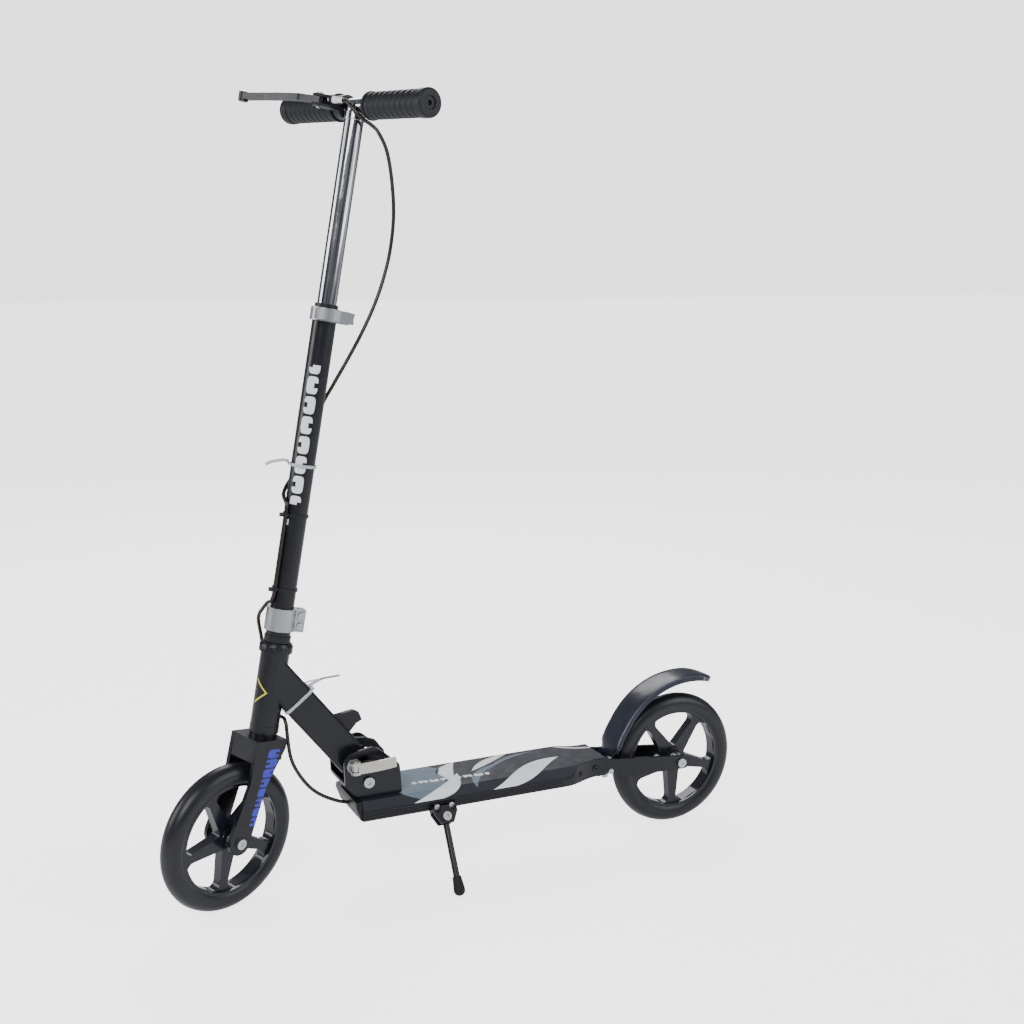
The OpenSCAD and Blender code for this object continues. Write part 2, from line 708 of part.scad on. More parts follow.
module head_frame() {
    color("#1b1c23") difference() {
        union() {
            on_head() translate([0, 0, head_low]) cylinder(r = head_r, h = head_top - head_low);
            // The tube runs into the head tube and ends on the steering axis.
            difference() {
                on_tube() tube_section(tube_w, tube_h, 6, 0, tube_len + 40);
                on_head() translate([0, -50, 0]) cube([100, 100, head_top]);
            }
            placed() {
                slab(7) translate(pivot) hook_outline();
                slab(tube_w) hull() {
                    translate(pivot) circle(12, $fn = 32);
                    translate(skewer_at) circle(10, $fn = 32);
                    translate(pivot + [3.5, 44]) circle(3, $fn = 24);
                    translate(pivot + [28.5, 13]) circle(3, $fn = 24);
                }
                rod_y(pivot, 20, -sleeve_half, sleeve_half);
                rod_y(skewer_at, 16, -sleeve_half, sleeve_half);
            }
        }
        on_tube() tube_section(tube_w - 5, tube_h - 5, 4, 22, tube_len - 4);
        on_head() translate([0, 0, head_low - 1]) cylinder(r = head_r - 2.5, h = 120);
        placed() rod_y(pivot, 12, -50, 50);
        placed() rod_y(skewer_at, axle_d, -50, 50);
    }
}

module pivot_bush() {
    color("#d9d4c4") placed() difference() {
        rod_y(pivot, 12, -sleeve_half, sleeve_half);
        rod_y(pivot, axle_d + 2 * run, -50, 50);
    }
}

// Bearing cups pressed into both ends of the head tube.
module head_cups() {
    bore = 2 * head_r - 5;
    race = steerer_d + 3;
    color("#15161b") on_head() {
        difference() {
            union() {
                translate([0, 0, cup_low]) cylinder(d = 2 * head_r + 1, h = head_low - cup_low);
                translate([0, 0, cup_low]) cylinder(d = bore, h = 20);
            }
            translate([0, 0, cup_low - 1]) cylinder(d = steerer_d + 1, h = 30);
            translate([0, 0, cup_low - 1]) cylinder(d = race, h = 7.5);
        }
        difference() {
            union() {
                translate([0, 0, head_top]) cylinder(d = 2 * head_r + 6, h = cup_top - head_top - 4);
                translate([0, 0, cup_top - 4]) cylinder(d1 = 2 * head_r + 6, d2 = 2 * head_r + 1, h = 4);
                translate([0, 0, head_top - 9]) cylinder(d = bore, h = 12);
            }
            translate([0, 0, head_top - 12]) cylinder(d = steerer_d + 1, h = 40);
            translate([0, 0, cup_top - 6.5]) cylinder(d = race, h = 10);
        }
    }
}

module head_bearings() {
    color("#b9bdc2") on_head() for (z = [cup_low, cup_top - 6.5])
        translate([0, 0, z]) ring(steerer_d + 3, steerer_d + 2 * run, 6.5);
}

// Nylon tie round the down tube, with its free end up.
module frame_tie() {
    at_x = tube_len - 32;
    tied = tail + at_x * [cos(tube_angle), sin(tube_angle)];
    color("#dfe3ea") {
        on_tube() difference() {
            tube_section(tube_w + 3, tube_h + 3, 7, at_x - 2, at_x + 2);
            tube_section(tube_w + 0.4, tube_h + 0.4, 6, at_x - 3, at_x + 3);
        }
        on_tube() translate([at_x - 3, 8, tube_h / 2 + 0.8]) cube([6, 6, 4]);
        placed() translate([0, 11, 0]) slab(4) translate(tied) polygon([[-15.4, 17.2],
            [-35.4, 25.7], [-58.4, 27.2], [-58.4, 28.4], [-35, 27], [-13.4, 19.7]]);
    }
}

// ---- Folding skewer and its lever ----

module skewer() {
    color("#c3c6ca") placed() {
        rod_y(skewer_at, axle_d, -bracket_w / 2 - 11, lever_y - 4);
        translate([skewer_at[0], lever_y, skewer_at[1]]) rotate([0, lever_tilt, 0])
            difference() {
                cylinder(d = 11, h = 7, center = true);
                cylinder(d = 5, h = 10, center = true);
            }
    }
}

module skewer_fittings() {
    color("#b5b9bd") placed() {
        difference() {
            rod_y(skewer_at, 20, bracket_w / 2 + run, lever_y - 7.2);
            rod_y(skewer_at, axle_d, 0, 60);
        }
        difference() {
            rod_y(skewer_at, 15, -bracket_w / 2 - 10, -bracket_w / 2 - run);
            rod_y(skewer_at, axle_d, -60, 0);
        }
    }
}

lever_tilt = 183;

// Cam lever of the folding joint, drawn along +X from its cross pin.
module fold_lever() {
    arm = concat(
        [for (n = [0 : 8]) [2 + 53 * n / 8, 2.8 + 2.6 * sin(180 * n / 8)]],
        [for (n = [8 : -1 : 0]) [2 + 53 * n / 8, 6.4 + 2.2 * sin(180 * n / 8)]]);
    color("#cfcabb") placed() translate([skewer_at[0], lever_y, skewer_at[1]])
        rotate([0, lever_tilt, 0]) {
            difference() {
                union() {
                    for (s = [-1, 1]) translate([0, 0, s * 6.25]) cylinder(d = 14, h = 3.9,
                        center = true);
                    linear_extrude(14, center = true) polygon(arm);
                }
                cylinder(d = 12, h = 8.6, center = true);
                cylinder(d = 5, h = 20, center = true);
            }
            cylinder(d = 5 - 2 * run, h = 18, center = true);
        }
}

// ---- Fork and column ----

module fork() {
    outline = [[-18, crown_top], [-18, crown_top - 12], [5, crown_top - 60],
        [fork_offset - 16.5, axle_k + 4], [fork_offset + 16.5, axle_k + 4],
        [33, crown_top - 58], [30, crown_top]];
    color("#1b1c23") on_steer() difference() {
        union() {
            for (s = [-1, 1]) translate([0, s * (leg_in + leg_out) / 2, 0])
                slab(leg_out - leg_in) {
                    polygon(outline);
                    translate([fork_offset, axle_k]) circle(16.5);
                }
            slab(2 * leg_in + 1) polygon([[-18, crown_top], [-18, crown_low], [31, crown_low],
                [30, crown_top]]);
            cylinder_between(crown_top - 2, steerer_top, steerer_d);
            cylinder_between(crown_top - 1, crown_top + 4.5, 36);
        }
        cylinder_between(crown_low - 1, steerer_top + 1, steerer_d - 6);
        rod_y([fork_offset, axle_k], axle_d, -40, 40);
    }
}

module cylinder_between(z0, z1, d) {
    translate([0, 0, z0]) cylinder(d = d, h = z1 - z0);
}

module head_locknut() {
    color("#17181d") on_steer() difference() {
        union() {
            cylinder_between(cup_top + gap, cup_top + 9, steerer_d + 9);
            cylinder_between(cup_top + 8.9, clamp_low, steerer_d + 6);
        }
        cylinder_between(cup_top - 1, clamp_low + 1, steerer_d);
    }
}

// Slit clamp with two ears, its bore on the axis and its ears at -X.
module clamp(d_out, d_in, h, reach, ear_w, slit) {
    difference() {
        union() {
            cylinder(d = d_out, h = h);
            translate([-reach, -ear_w / 2, 0]) cube([reach, ear_w, h]);
        }
        translate([0, 0, -1]) cylinder(d = d_in, h = h + 2);
        translate([-reach - 1, -slit / 2, -1]) cube([reach, slit, h + 2]);
    }
}

lug_turn = -25;
lug_bolt_z = [8, 22];

module lower_clamp() {
    color("#b5b9bd") on_steer() translate([0, 0, clamp_low]) rotate([0, 0, lug_turn])
        difference() {
            clamp(column_d + 8, column_d, clamp_top - clamp_low, 31, 17, 3);
            for (z = lug_bolt_z) rod_y([-25, z], 5, -20, 20);
        }
}

module lower_clamp_bolts() {
    color("#8c9096") on_steer() translate([0, 0, clamp_low]) rotate([0, 0, lug_turn])
        for (z = lug_bolt_z) translate([-25, 8.5, z]) rotate([-90, 0, 0]) screw(5, 17, 8.5, 3);
}

module column_tube() {
    color("#1b1c23") on_steer() difference() {
        cylinder_between(clamp_low, collar_top, column_d);
        cylinder_between(clamp_low - 1, collar_top + 1, column_bore);
    }
}

// Black ties that hold the cable on the column, each with its head at the front.
module column_ties() {
    beside = wrap([366.1, 18.9, 0]);
    color("#101115") on_steer() for (z = tie_heights) translate([0, 0, z - 2]) {
        difference() {
            union() {
                cylinder(d = column_d + 3, h = 4);
                translate(beside) cylinder(d = 10, h = 4);
            }
            translate([0, 0, -1]) cylinder(d = column_d + 0.2, h = 6);
            translate(beside - [0, 0, 1]) cylinder(d = cable_d + 1.8, h = 6);
        }
        rotate([0, 0, 6.1]) translate([column_r + 7.4, -2.5, -0.5]) cube([5, 5, 5]);
    }
}

module top_collar() {
    color("#b5b9bd") on_steer() translate([0, 0, collar_low]) difference() {
        clamp(column_d + 7, column_d, collar_top - collar_low, 36, 15, 2.4);
        rod_y([-30, (collar_top - collar_low) / 2], 6, -20, 20);
    }
}

collar_mid = (collar_low + collar_top) / 2;
collar_pin_y = 14;

module collar_skewer() {
    color("#c3c6ca") on_steer() translate([-30, 0, collar_mid]) {
        rod_y([0, 0], 6, -14, collar_pin_y - 3);
        translate([0, -7.5 - run, 0]) rotate([90, 0, 0]) nut(10, 5, 6);
        translate([0, collar_pin_y, 0]) difference() {
            cylinder(d = 9, h = 6.2, center = true);
            cylinder(d = 4, h = 8, center = true);
        }
    }
}

// Cam lever of the collar, which lies along the left side and round the front.
module collar_lever() {
    reach = column_r + 9;
    color("#b5b9bd") on_steer() {
        difference() {
            union() {
                translate([-30, collar_pin_y, collar_mid]) for (s = [-1, 1])
                    translate([0, 0, s * 5.2]) cylinder(d = 11.5, h = 4, center = true);
                translate([0, 0, collar_mid - 7.2]) linear_extrude(14.4) difference() {
                    union() {
                        translate([-30, collar_pin_y + 2.6]) rotate(11) square([36, 4.4]);
                        intersection() {
                            circle(reach + 3.6);
                            translate([-2, 0]) square([60, 60]);
                        }
                    }
                    circle(reach);
                    rotate(20) translate([0, -60]) square([60, 60]);
                }
            }
            translate([-30, collar_pin_y, collar_mid]) {
                cylinder(d = 10.5, h = 6.4, center = true);
                cylinder(d = 4, h = 20, center = true);
            }
        }
        translate([-30, collar_pin_y, collar_mid]) cylinder(d = 4 - 2 * run, h = 14.4,
            center = true);
    }
}

module top_bush() {
    color("#121318") on_steer() difference() {
        union() {
            cylinder_between(collar_top, collar_top + 5, column_d - 1);
            cylinder_between(collar_top - 20, collar_top + 1, column_bore);
        }
        cylinder_between(collar_top - 30, collar_top + 10, stem_d + 2 * run);
    }
}

// ---- Handlebar ----

grip_in = 33;
bar_half = bar_len / 2;
grip_d = 34;

module stem() {
    color("#c8cbd0") on_bar() difference() {
        union() {
            cylinder_between(stem_foot, bar_height, stem_d);
            rod_y([0, bar_height], bar_d, -bar_half + 4, bar_half - 4);
            cylinder_between(bar_height - 17, bar_height - 8, stem_d + 2);
        }
        cylinder_between(stem_foot - 1, bar_height - 18, stem_d - 4);
        rod_y([0, bar_height], bar_d - 4, -bar_half, bar_half);
    }
}

// Plastic slider on the foot of the stem, running inside the column.
module stem_plug() {
    color("#e2ded2") on_steer() difference() {
        union() {
            cylinder_between(stem_foot - 6, stem_foot, column_bore - 2 * run);
            cylinder_between(stem_foot - 1, stem_foot + 14, stem_d - 4);
        }
        cylinder_between(stem_foot - 7, stem_foot + 20, 12);
    }
}

module grip() {
    rib_pitch = 11;
    difference() {
        union() {
            rod_y([0, 0], grip_d - 2, grip_in, bar_half);
            rod_y([0, 0], grip_d + 2, grip_in, grip_in + 3);
            rod_y([0, 0], grip_d + 1, bar_half - 14, bar_half);
            for (y = [grip_in + 9 : rib_pitch : bar_half - 24])
                rod_y([0, 0], grip_d, y, y + rib_pitch - 2);
        }
        rod_y([0, 0], bar_d, 0, bar_half - 4);
    }
}

module grips() {
    color("#1d1e25") on_bar() translate([0, 0, bar_height])
        for (s = [0, 180]) rotate([0, 0, s]) grip();
}

lever_at = [37, -28];

module brake_bracket() {
    color("#17181d") on_bar() translate([0, 0, bar_height]) difference() {
        union() {
            rod_y([0, 0], bar_d + 9, -31.5, -17);
            linear_extrude(15, center = true) polygon([[8, -31], [8, -17.5], [30, -15],
                [45, -24], [45, -32], [30, -34], [14, -31.4]]);
            translate([lever_at[0], lever_at[1], 0]) cylinder(d = 15, h = 15, center = true);
            translate([0, 0, -bar_height]) at_adjuster() translate([0, 0, -7])
                cylinder(d = 10, h = 7);
        }
        rod_y([0, 0], bar_d, -50, 0);
        translate([lever_at[0] - 9, -60, -4.3]) cube([40, 46, 8.6]);
        translate([lever_at[0], lever_at[1], -10]) cylinder(d = 5, h = 20);
        translate([0, 0, -bar_height]) at_adjuster() translate([0, 0, -8]) cylinder(d = 6, h = 9);
    }
}

module lever_pin() {
    color("#8c9096") on_bar() translate([lever_at[0], lever_at[1], bar_height + 7.5])
        screw(5, 17, 8.5, 2.4);
}

// Start of the cable adjuster's barrel, with Z along it.
module at_adjuster() {
    translate(adjuster_at) rotate([0, 0, atan2(adjuster_way[1], adjuster_way[0])])
        rotate([0, 90, 0]) children();
}

module cable_adjuster() {
    color("#e8e9ec") on_bar() at_adjuster() difference() {
        union() {
            translate([0, 0, -6]) cylinder(d = 6, h = 7);
            cylinder(d = 9, h = 6, $fn = 12);
            cylinder(d = 7, h = adjuster_len);
        }
        translate([0, 0, -7]) cylinder(d = 2, h = adjuster_len + 8);
    }
}

// Lever blade from its pivot out along the grip, drawn as a chain of rounded links.
module brake_lever() {
    links = [[37, -28, 6.4], [54, -46, 5.6], [62, -78, 5], [68, -115, 4.6], [73, -150, 5.2]];
    color("#1a1b22") on_bar() translate([0, 0, bar_height]) difference() {
        union() {
            linear_extrude(8, center = true) for (n = [0 : len(links) - 2]) hull() {
                translate([links[n][0], links[n][1]]) circle(links[n][2], $fn = 32);
                translate([links[n + 1][0], links[n + 1][1]]) circle(links[n + 1][2], $fn = 32);
            }
            translate([links[4][0], links[4][1], 0]) cylinder(d = 13, h = 12, center = true);
        }
        translate([lever_at[0], lever_at[1], 0]) cylinder(d = 5 + 2 * run, h = 30, center = true);
    }
}

// ---- Brake cable ----

module brake_cable_top() {
    color("#1a1512") on_steer() cable(top_route, cable_d, 16, [0, 1, 0.2]);
}

module brake_cable_column() {
    color("#1a1512") on_steer() cable(column_route, cable_d, 16, [0.3, 1, 0]);
}

module brake_cable_head() {
    color("#1a1512") placed() cable(head_route, cable_d, 14, [1, 0.1, 0]);
}

module brake_cable_low() {
    color("#1a1512") placed() cable(low_route, cable_d, 14, [0, 1, 0.1]);
}

module brake_cable_deck() {
    color("#1a1512") placed() cable(deck_route, cable_d, 60, [0, 1, 0]);
}

deck();
deck_grip();
deck_nose();
fold_bracket();
bracket_screws();
pivot_bolt();
pivot_nut();
rear_fork();
fork_arm_screws();
rear_axle();
rear_axle_nut();
rear_spacers();
rear_pin();
kickstand_bracket();
kickstand_screws();
kickstand_pin();
kickstand_leg();
kickstand_foot();
brake_cable_deck();
head_frame();
pivot_bush();
head_cups();
head_bearings();
frame_tie();
skewer();
skewer_fittings();
fold_lever();
brake_cable_head();
brake_cable_low();
fork();
head_locknut();
lower_clamp();
lower_clamp_bolts();
column_tube();
column_ties();
top_collar();
collar_skewer();
collar_lever();
top_bush();
brake_cable_column();
front_axle();
front_axle_nut();
front_spacers();
front_rim();
front_tyre();
front_bearings();
rear_rim();
rear_tyre();
rear_bearings();
stem();
stem_plug();
grips();
brake_bracket();
lever_pin();
cable_adjuster();
brake_cable_top();
brake_lever();
fender();
fender_spring();
brake_arm();
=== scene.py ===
import json
import math

import bmesh
import bpy
import numpy as np
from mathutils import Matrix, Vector


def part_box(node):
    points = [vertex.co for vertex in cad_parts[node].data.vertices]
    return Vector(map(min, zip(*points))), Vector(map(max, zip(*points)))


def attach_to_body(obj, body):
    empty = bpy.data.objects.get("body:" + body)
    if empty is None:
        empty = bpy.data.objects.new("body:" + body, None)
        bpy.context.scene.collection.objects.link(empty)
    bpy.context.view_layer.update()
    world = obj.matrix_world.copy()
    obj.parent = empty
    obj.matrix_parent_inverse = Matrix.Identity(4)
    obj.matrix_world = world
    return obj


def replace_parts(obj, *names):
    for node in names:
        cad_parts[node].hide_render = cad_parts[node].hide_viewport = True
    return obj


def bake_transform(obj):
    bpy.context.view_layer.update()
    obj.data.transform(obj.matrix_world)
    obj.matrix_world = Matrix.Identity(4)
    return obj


bl_info = {
    "name": "Kick Scooter Dressing",
    "version": (1, 0, 0),
    "blender": (4, 5, 0),
    "location": "View3D > Sidebar > Scooter",
    "description": "Finishes a folding kick scooter: tyres, grips, cables, ties, marks and paint",
    "category": "Object",
}

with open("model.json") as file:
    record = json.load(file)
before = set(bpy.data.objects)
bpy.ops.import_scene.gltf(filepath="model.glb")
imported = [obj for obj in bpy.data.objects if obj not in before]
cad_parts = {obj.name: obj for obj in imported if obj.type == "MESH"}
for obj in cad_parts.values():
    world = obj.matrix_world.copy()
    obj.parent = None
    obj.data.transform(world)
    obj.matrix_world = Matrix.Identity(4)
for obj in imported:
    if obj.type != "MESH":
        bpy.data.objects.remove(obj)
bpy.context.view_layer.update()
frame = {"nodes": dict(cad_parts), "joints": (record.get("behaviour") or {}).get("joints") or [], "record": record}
JOINTS = {joint["name"]: joint for joint in frame["joints"]}
BODY_OF = {node: body for body, nodes in frame["record"]["behaviour"]["bodies"].items()
           for node in nodes}
SLOT_OF = {part["node"]: part["material_slot"] for part in frame["record"]["subparts"]}
MM = 0.001


# ---- Places, from the joints and boxes of the frame ----

def joint_at(name):
    return np.array(JOINTS[name]["pos_m"], float)


def joint_axis(name):
    axis = np.array(JOINTS[name]["axis"], float)
    return axis / np.linalg.norm(axis)


class Axes:
    """A frame of three directions and an origin."""

    def __init__(self, origin, forward, left, up):
        self.origin, self.rows = origin, np.array([forward, left, up])

    def out(self, points):
        """Points measured along the three directions, in millimetres, as places in metres."""
        return self.origin + np.asarray(points, float) @ self.rows * MM


UP = joint_axis("steer")
LEFT = joint_axis("front_wheel_spin")
AHEAD = np.cross(LEFT, UP)
FOOT = joint_at("steer") - UP * joint_at("steer")[2] / UP[2]
STEER = Axes(FOOT, AHEAD, LEFT, UP)
HEAD = Axes(FOOT, np.cross([0, 1, 0], UP), np.array([0, 1, 0]), UP)
ROW = Axes(np.zeros(3), [1, 0, 0], [0, 1, 0], [0, 0, 1])
REAR_HUB = joint_at("rear_wheel_spin")
PIVOT = joint_at("frame_fold")
PIN = joint_at("fender_press")


def box_mm(node):
    low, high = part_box(node)
    return np.array(low) / MM, np.array(high) / MM


def heights(node):
    """Lowest and highest place of a node along the steering axis, in millimetres."""
    mesh = frame["nodes"][node].data
    places = np.empty(len(mesh.vertices) * 3, np.float32)
    mesh.vertices.foreach_get("co", places)
    along = (places.reshape(-1, 3) - FOOT) @ UP / MM
    return float(along.min()), float(along.max())


def turned(axes, angle):
    """The same frame turned to the left about its own upward direction."""
    forward, left, up = axes.rows
    return Axes(axes.origin, forward * math.cos(angle) + left * math.sin(angle),
                left * math.cos(angle) - forward * math.sin(angle), up)


LEVER_AT = np.array([37.0, -28.0])
LEVER_ARM = STEER.rows[:2] @ (joint_at("brake_squeeze") - FOOT)
BAR = turned(STEER, math.atan2(LEVER_ARM[1], LEVER_ARM[0]) - math.atan2(LEVER_AT[1], LEVER_AT[0]))
BAR_K = float((joint_at("brake_squeeze") - FOOT) @ UP / MM)
CLAMP_LOW, CLAMP_TOP = heights("lower_clamp")
CUP_LOW = heights("head_cups")[0]
HEAD_LOW = CUP_LOW + 10
COLLAR_LOW, COLLAR_TOP = heights("top_collar")
DECK_LOW, DECK_HIGH = box_mm("deck")
DECK_TOP = DECK_HIGH[2]
FENDER_HALF, FENDER_FOOT = 26.0, 20.0
SHOULDER_W, SHOULDER_H = 6.0, 13.0


# ---- Sizes and colours a user may change ----

def length(name, default, description):
    return bpy.props.FloatProperty(name=name, description=description, default=default * MM,
                                   min=0.0, unit="LENGTH", precision=4)


def colour(name, default, description):
    return bpy.props.FloatVectorProperty(name=name, description=description, default=default,
                                         size=3, min=0.0, max=1.0, subtype="COLOR")


class ScooterSizes(bpy.types.PropertyGroup):
    edge: length("Edge Round", 0.7, "Rounding on the edges of castings and sections")
    thin_edge: length("Thin Edge Round", 0.35, "Rounding on small or thin pieces")
    tread_seam: length("Tread Seam", 0.25, "Height of the mould line round a tyre")
    grip_groove: length("Grip Groove", 1.3, "Depth of the grooves round a grip")
    cable: length("Cable Diameter", 5.0, "Outside diameter of the brake cable")
    tie: length("Tie Width", 4.0, "Width of a nylon tie")
    wire: length("Spring Wire", 1.3, "Wire diameter of the fender spring")


class ScooterColours(bpy.types.PropertyGroup):
    paint: colour("Paint", (0.0072, 0.0076, 0.0115), "Satin paint of the tubes and the deck")
    fender: colour("Fender", (0.017, 0.020, 0.036), "Paint of the rear fender")
    wheel: colour("Wheel", (0.010, 0.011, 0.018), "Moulded wheels")
    tyre: colour("Tyre", (0.012, 0.0125, 0.017), "Cast tyres")
    grip: colour("Grip", (0.010, 0.0105, 0.015), "Rubber of the grips")
    sheet: colour("Deck Sheet", (0.019, 0.020, 0.031), "Ground colour of the deck sheet")
    ink: colour("Deck Ink", (0.14, 0.19, 0.25), "Grey-blue print on the deck")
    white: colour("White Marks", (0.93, 0.95, 0.99), "White shapes on the deck and the column")
    yellow: colour("Yellow Mark", (0.77, 0.72, 0.04), "Chevron on the head tube")
    blue: colour("Blue Stripes", (0.05, 0.055, 0.52), "Stripes on the fork")
    silver: colour("Silver", (0.47, 0.49, 0.52), "Anodised clamps")
    sheath: colour("Cable", (0.02, 0.013, 0.01), "Sheath of the brake cable")


class ScooterStage(bpy.types.PropertyGroup):
    floor: colour("Floor", (0.93, 0.93, 0.94), "Pale floor")
    light: bpy.props.FloatProperty(name="Light", description="Strength of the studio lights",
                                   default=1.0, min=0.0)
    lens: bpy.props.FloatProperty(name="Lens", description="Focal length in millimetres",
                                  default=47.65, min=10.0)


# ---- Meshes ----

def unit(vectors):
    return vectors / np.linalg.norm(vectors, axis=-1, keepdims=True)


def finished(name, points, faces, smooth=50):
    """A mesh object from its points and faces, with its normals outward."""
    mesh = bpy.data.meshes.new(name)
    mesh.from_pydata(np.asarray(points, float).tolist(), [], faces)
    work = bmesh.new()
    work.from_mesh(mesh)
    bmesh.ops.remove_doubles(work, verts=work.verts, dist=1e-6)
    bmesh.ops.recalc_face_normals(work, faces=work.faces)
    for face in work.faces:
        face.smooth = True
    for edge in work.edges:
        edge.smooth = edge.calc_face_angle(0.0) < math.radians(smooth)
    work.to_mesh(mesh)
    work.free()
    piece = bpy.data.objects.new(name, mesh)
    bpy.context.scene.collection.objects.link(piece)
    return piece


def grid_faces(rows, columns, ring_rows, ring_columns):
    """Four-sided faces between neighbours of a grid, which may close on itself both ways."""
    row, column = np.meshgrid(np.arange(rows if ring_rows else rows - 1),
                              np.arange(columns if ring_columns else columns - 1), indexing="ij")
    after, beside = (row + 1) % rows, (column + 1) % columns
    corners = [row * columns + column, after * columns + column, after * columns + beside,
               row * columns + beside]
    return np.stack(corners, -1).reshape(-1, 4).tolist()


def capped_faces(rows, columns):
    """Faces of a closed section carried along its rows, with a flat face over each end."""
    last = rows * columns - 1
    ends = [list(range(columns)), list(range(last, last - columns, -1))]
    return grid_faces(rows, columns, False, True) + ends


def lathe(name, profile, centre, axis, steps=96, closed=False, smooth=50):
    """Turned surface: a profile of (distance along the axis, radius) carried round the axis.
    Each point is centre + along * axis + radius * (cos(turn) * side + sin(turn) * front)."""
    profile = np.asarray(profile, float) * MM
    axis = unit(np.asarray(axis, float))
    side = unit(np.cross(axis, [0.123, 0.456, 0.881]))
    front = np.cross(axis, side)
    turn = np.arange(steps)[:, None, None] * 2 * math.pi / steps
    points = (np.asarray(centre) + profile[None, :, :1] * axis
              + profile[None, :, 1:] * (np.cos(turn) * side + np.sin(turn) * front))
    count = len(profile)
    faces = grid_faces(steps, count, True, closed)
    return finished(name, points.reshape(-1, 3), faces, smooth)


def smooth_route(route, pitch):
    """Cubic curve through every point of a route: on each span the place is the Catmull-Rom
    blend of the four nearest points, sampled about every pitch."""
    route = np.asarray(route, float)
    ends = np.vstack([route[:1], route, route[-1:]])
    spans = np.maximum(1, np.rint(np.linalg.norm(np.diff(route, axis=0), axis=1) / pitch))
    span = np.repeat(np.arange(len(spans)), spans.astype(int))
    start = np.repeat(np.cumsum(spans) - spans, spans.astype(int))
    t = ((np.arange(len(span)) - start) / spans[span])[:, None]
    a, b, c, d = ends[span], ends[span + 1], ends[span + 2], ends[span + 3]
    curve = 0.5 * (2 * b + (c - a) * t + (2 * a - 5 * b + 4 * c - d) * t ** 2
                   + (3 * b - a - 3 * c + d) * t ** 3)
    return np.vstack([curve, route[-1:]])


def swept(name, path, section, reference, smooth=50):
    """Section carried along a path: each point is place + across * u + over * v, where u is
    the path's direction crossed with the reference and v is square to both."""
    path, section = np.asarray(path, float), np.asarray(section, float)
    ahead = unit(np.gradient(path, axis=0))
    u = unit(np.cross(ahead, reference))
    v = np.cross(ahead, u)
    points = path[:, None] + section[:, :1] * u[:, None] + section[:, 1:] * v[:, None]
    return finished(name, points.reshape(-1, 3), capped_faces(*points.shape[:2]), smooth)


def circle(diameter, sides=16):
    """Points at equal angles round a circle."""
    turn = np.arange(sides) * 2 * math.pi / sides
    return diameter / 2 * np.stack([np.cos(turn), np.sin(turn)], -1)


def arc(centre, radius, start, end, steps):
    """Points on an arc, as centre + radius * (cos, sin) of angles in degrees."""
    turn = np.radians(np.linspace(start, end, steps))
    return np.asarray(centre) + radius * np.stack([np.cos(turn), np.sin(turn)], -1)


def dress(piece, slot):
    """Lays one finish over the whole piece."""
    piece.data.materials.clear()
    piece.data.materials.append(FINISHES[slot])


def attach(piece, body, slot):
    """The piece rides on a body and takes a slot and its finish."""
    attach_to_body(piece, body)
    dress(piece, slot)
    return piece


def hold(piece, node):
    """The piece takes its node's body, slot and finish."""
    return attach(piece, BODY_OF[node], SLOT_OF[node])


def rounded_copy(node, width, corner=32, steps=2):
    """A node's own faces with every sharp edge rolled over: flat neighbours are joined, then a
    bevel of the given width goes along each edge that turns more than the corner angle."""
    mesh = frame["nodes"][node].data.copy()
    work = bmesh.new()
    work.from_mesh(mesh)
    bmesh.ops.remove_doubles(work, verts=work.verts, dist=2e-6)
    bmesh.ops.dissolve_limit(work, angle_limit=math.radians(0.6), verts=work.verts,
                             edges=work.edges, use_dissolve_boundaries=False)
    for face in work.faces:
        face.smooth = True
    for edge in work.edges:
        edge.smooth = edge.calc_face_angle(0.0) < math.radians(corner)
    work.to_mesh(mesh)
    work.free()
    piece = bpy.data.objects.new(node + "_rounded", mesh)
    bpy.context.scene.collection.objects.link(piece)
    bevel = piece.modifiers.new("Rolled Edges", "BEVEL")
    bevel.width = width
    bevel.segments = steps
    bevel.limit_method = "ANGLE"
    bevel.angle_limit = math.radians(corner)
    bevel.use_clamp_overlap = True
    bevel.harden_normals = True
    hold(piece, node)
    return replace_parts(piece, node)


# ---- Finishes ----

class Signal:
    """A value that changes over a surface; sums and products of it add their Math nodes."""

    def __init__(self, finish, socket):
        self.finish, self.socket = finish, socket

    def math(self, operation, *others, first=None):
        values = ([] if first is None else [first]) + [self] + list(others)
        return self.finish.add("ShaderNodeMath", {"operation": operation},
                               dict(enumerate(values)))

    def __add__(self, other):
        return self.math("ADD", other)

    __radd__ = __add__

    def __sub__(self, other):
        return self.math("SUBTRACT", other)

    def __rsub__(self, other):
        return self.math("SUBTRACT", first=other)

    def __mul__(self, other):
        return self.math("MULTIPLY", other)

    __rmul__ = __mul__

    def __truediv__(self, other):
        return self.math("DIVIDE", other)

    def __abs__(self):
        return self.math("ABSOLUTE")

    def __pow__(self, other):
        return self.math("POWER", other)

    def upper(self, other):
        return self.math("MAXIMUM", other)

    def inside(self, soft):
        """1 where the value is below zero and 0 above it, changing over the soft width."""
        return self.finish.add("ShaderNodeMapRange", {"clamp": True},
                               {0: self, 1: soft / 2, 2: -soft / 2, 3: 0.0, 4: 1.0})

    def ramp(self, low, high, to_low=0.0, to_high=1.0):
        return self.finish.add("ShaderNodeMapRange", {"clamp": True},
                               {0: self, 1: low, 2: high, 3: to_low, 4: to_high})


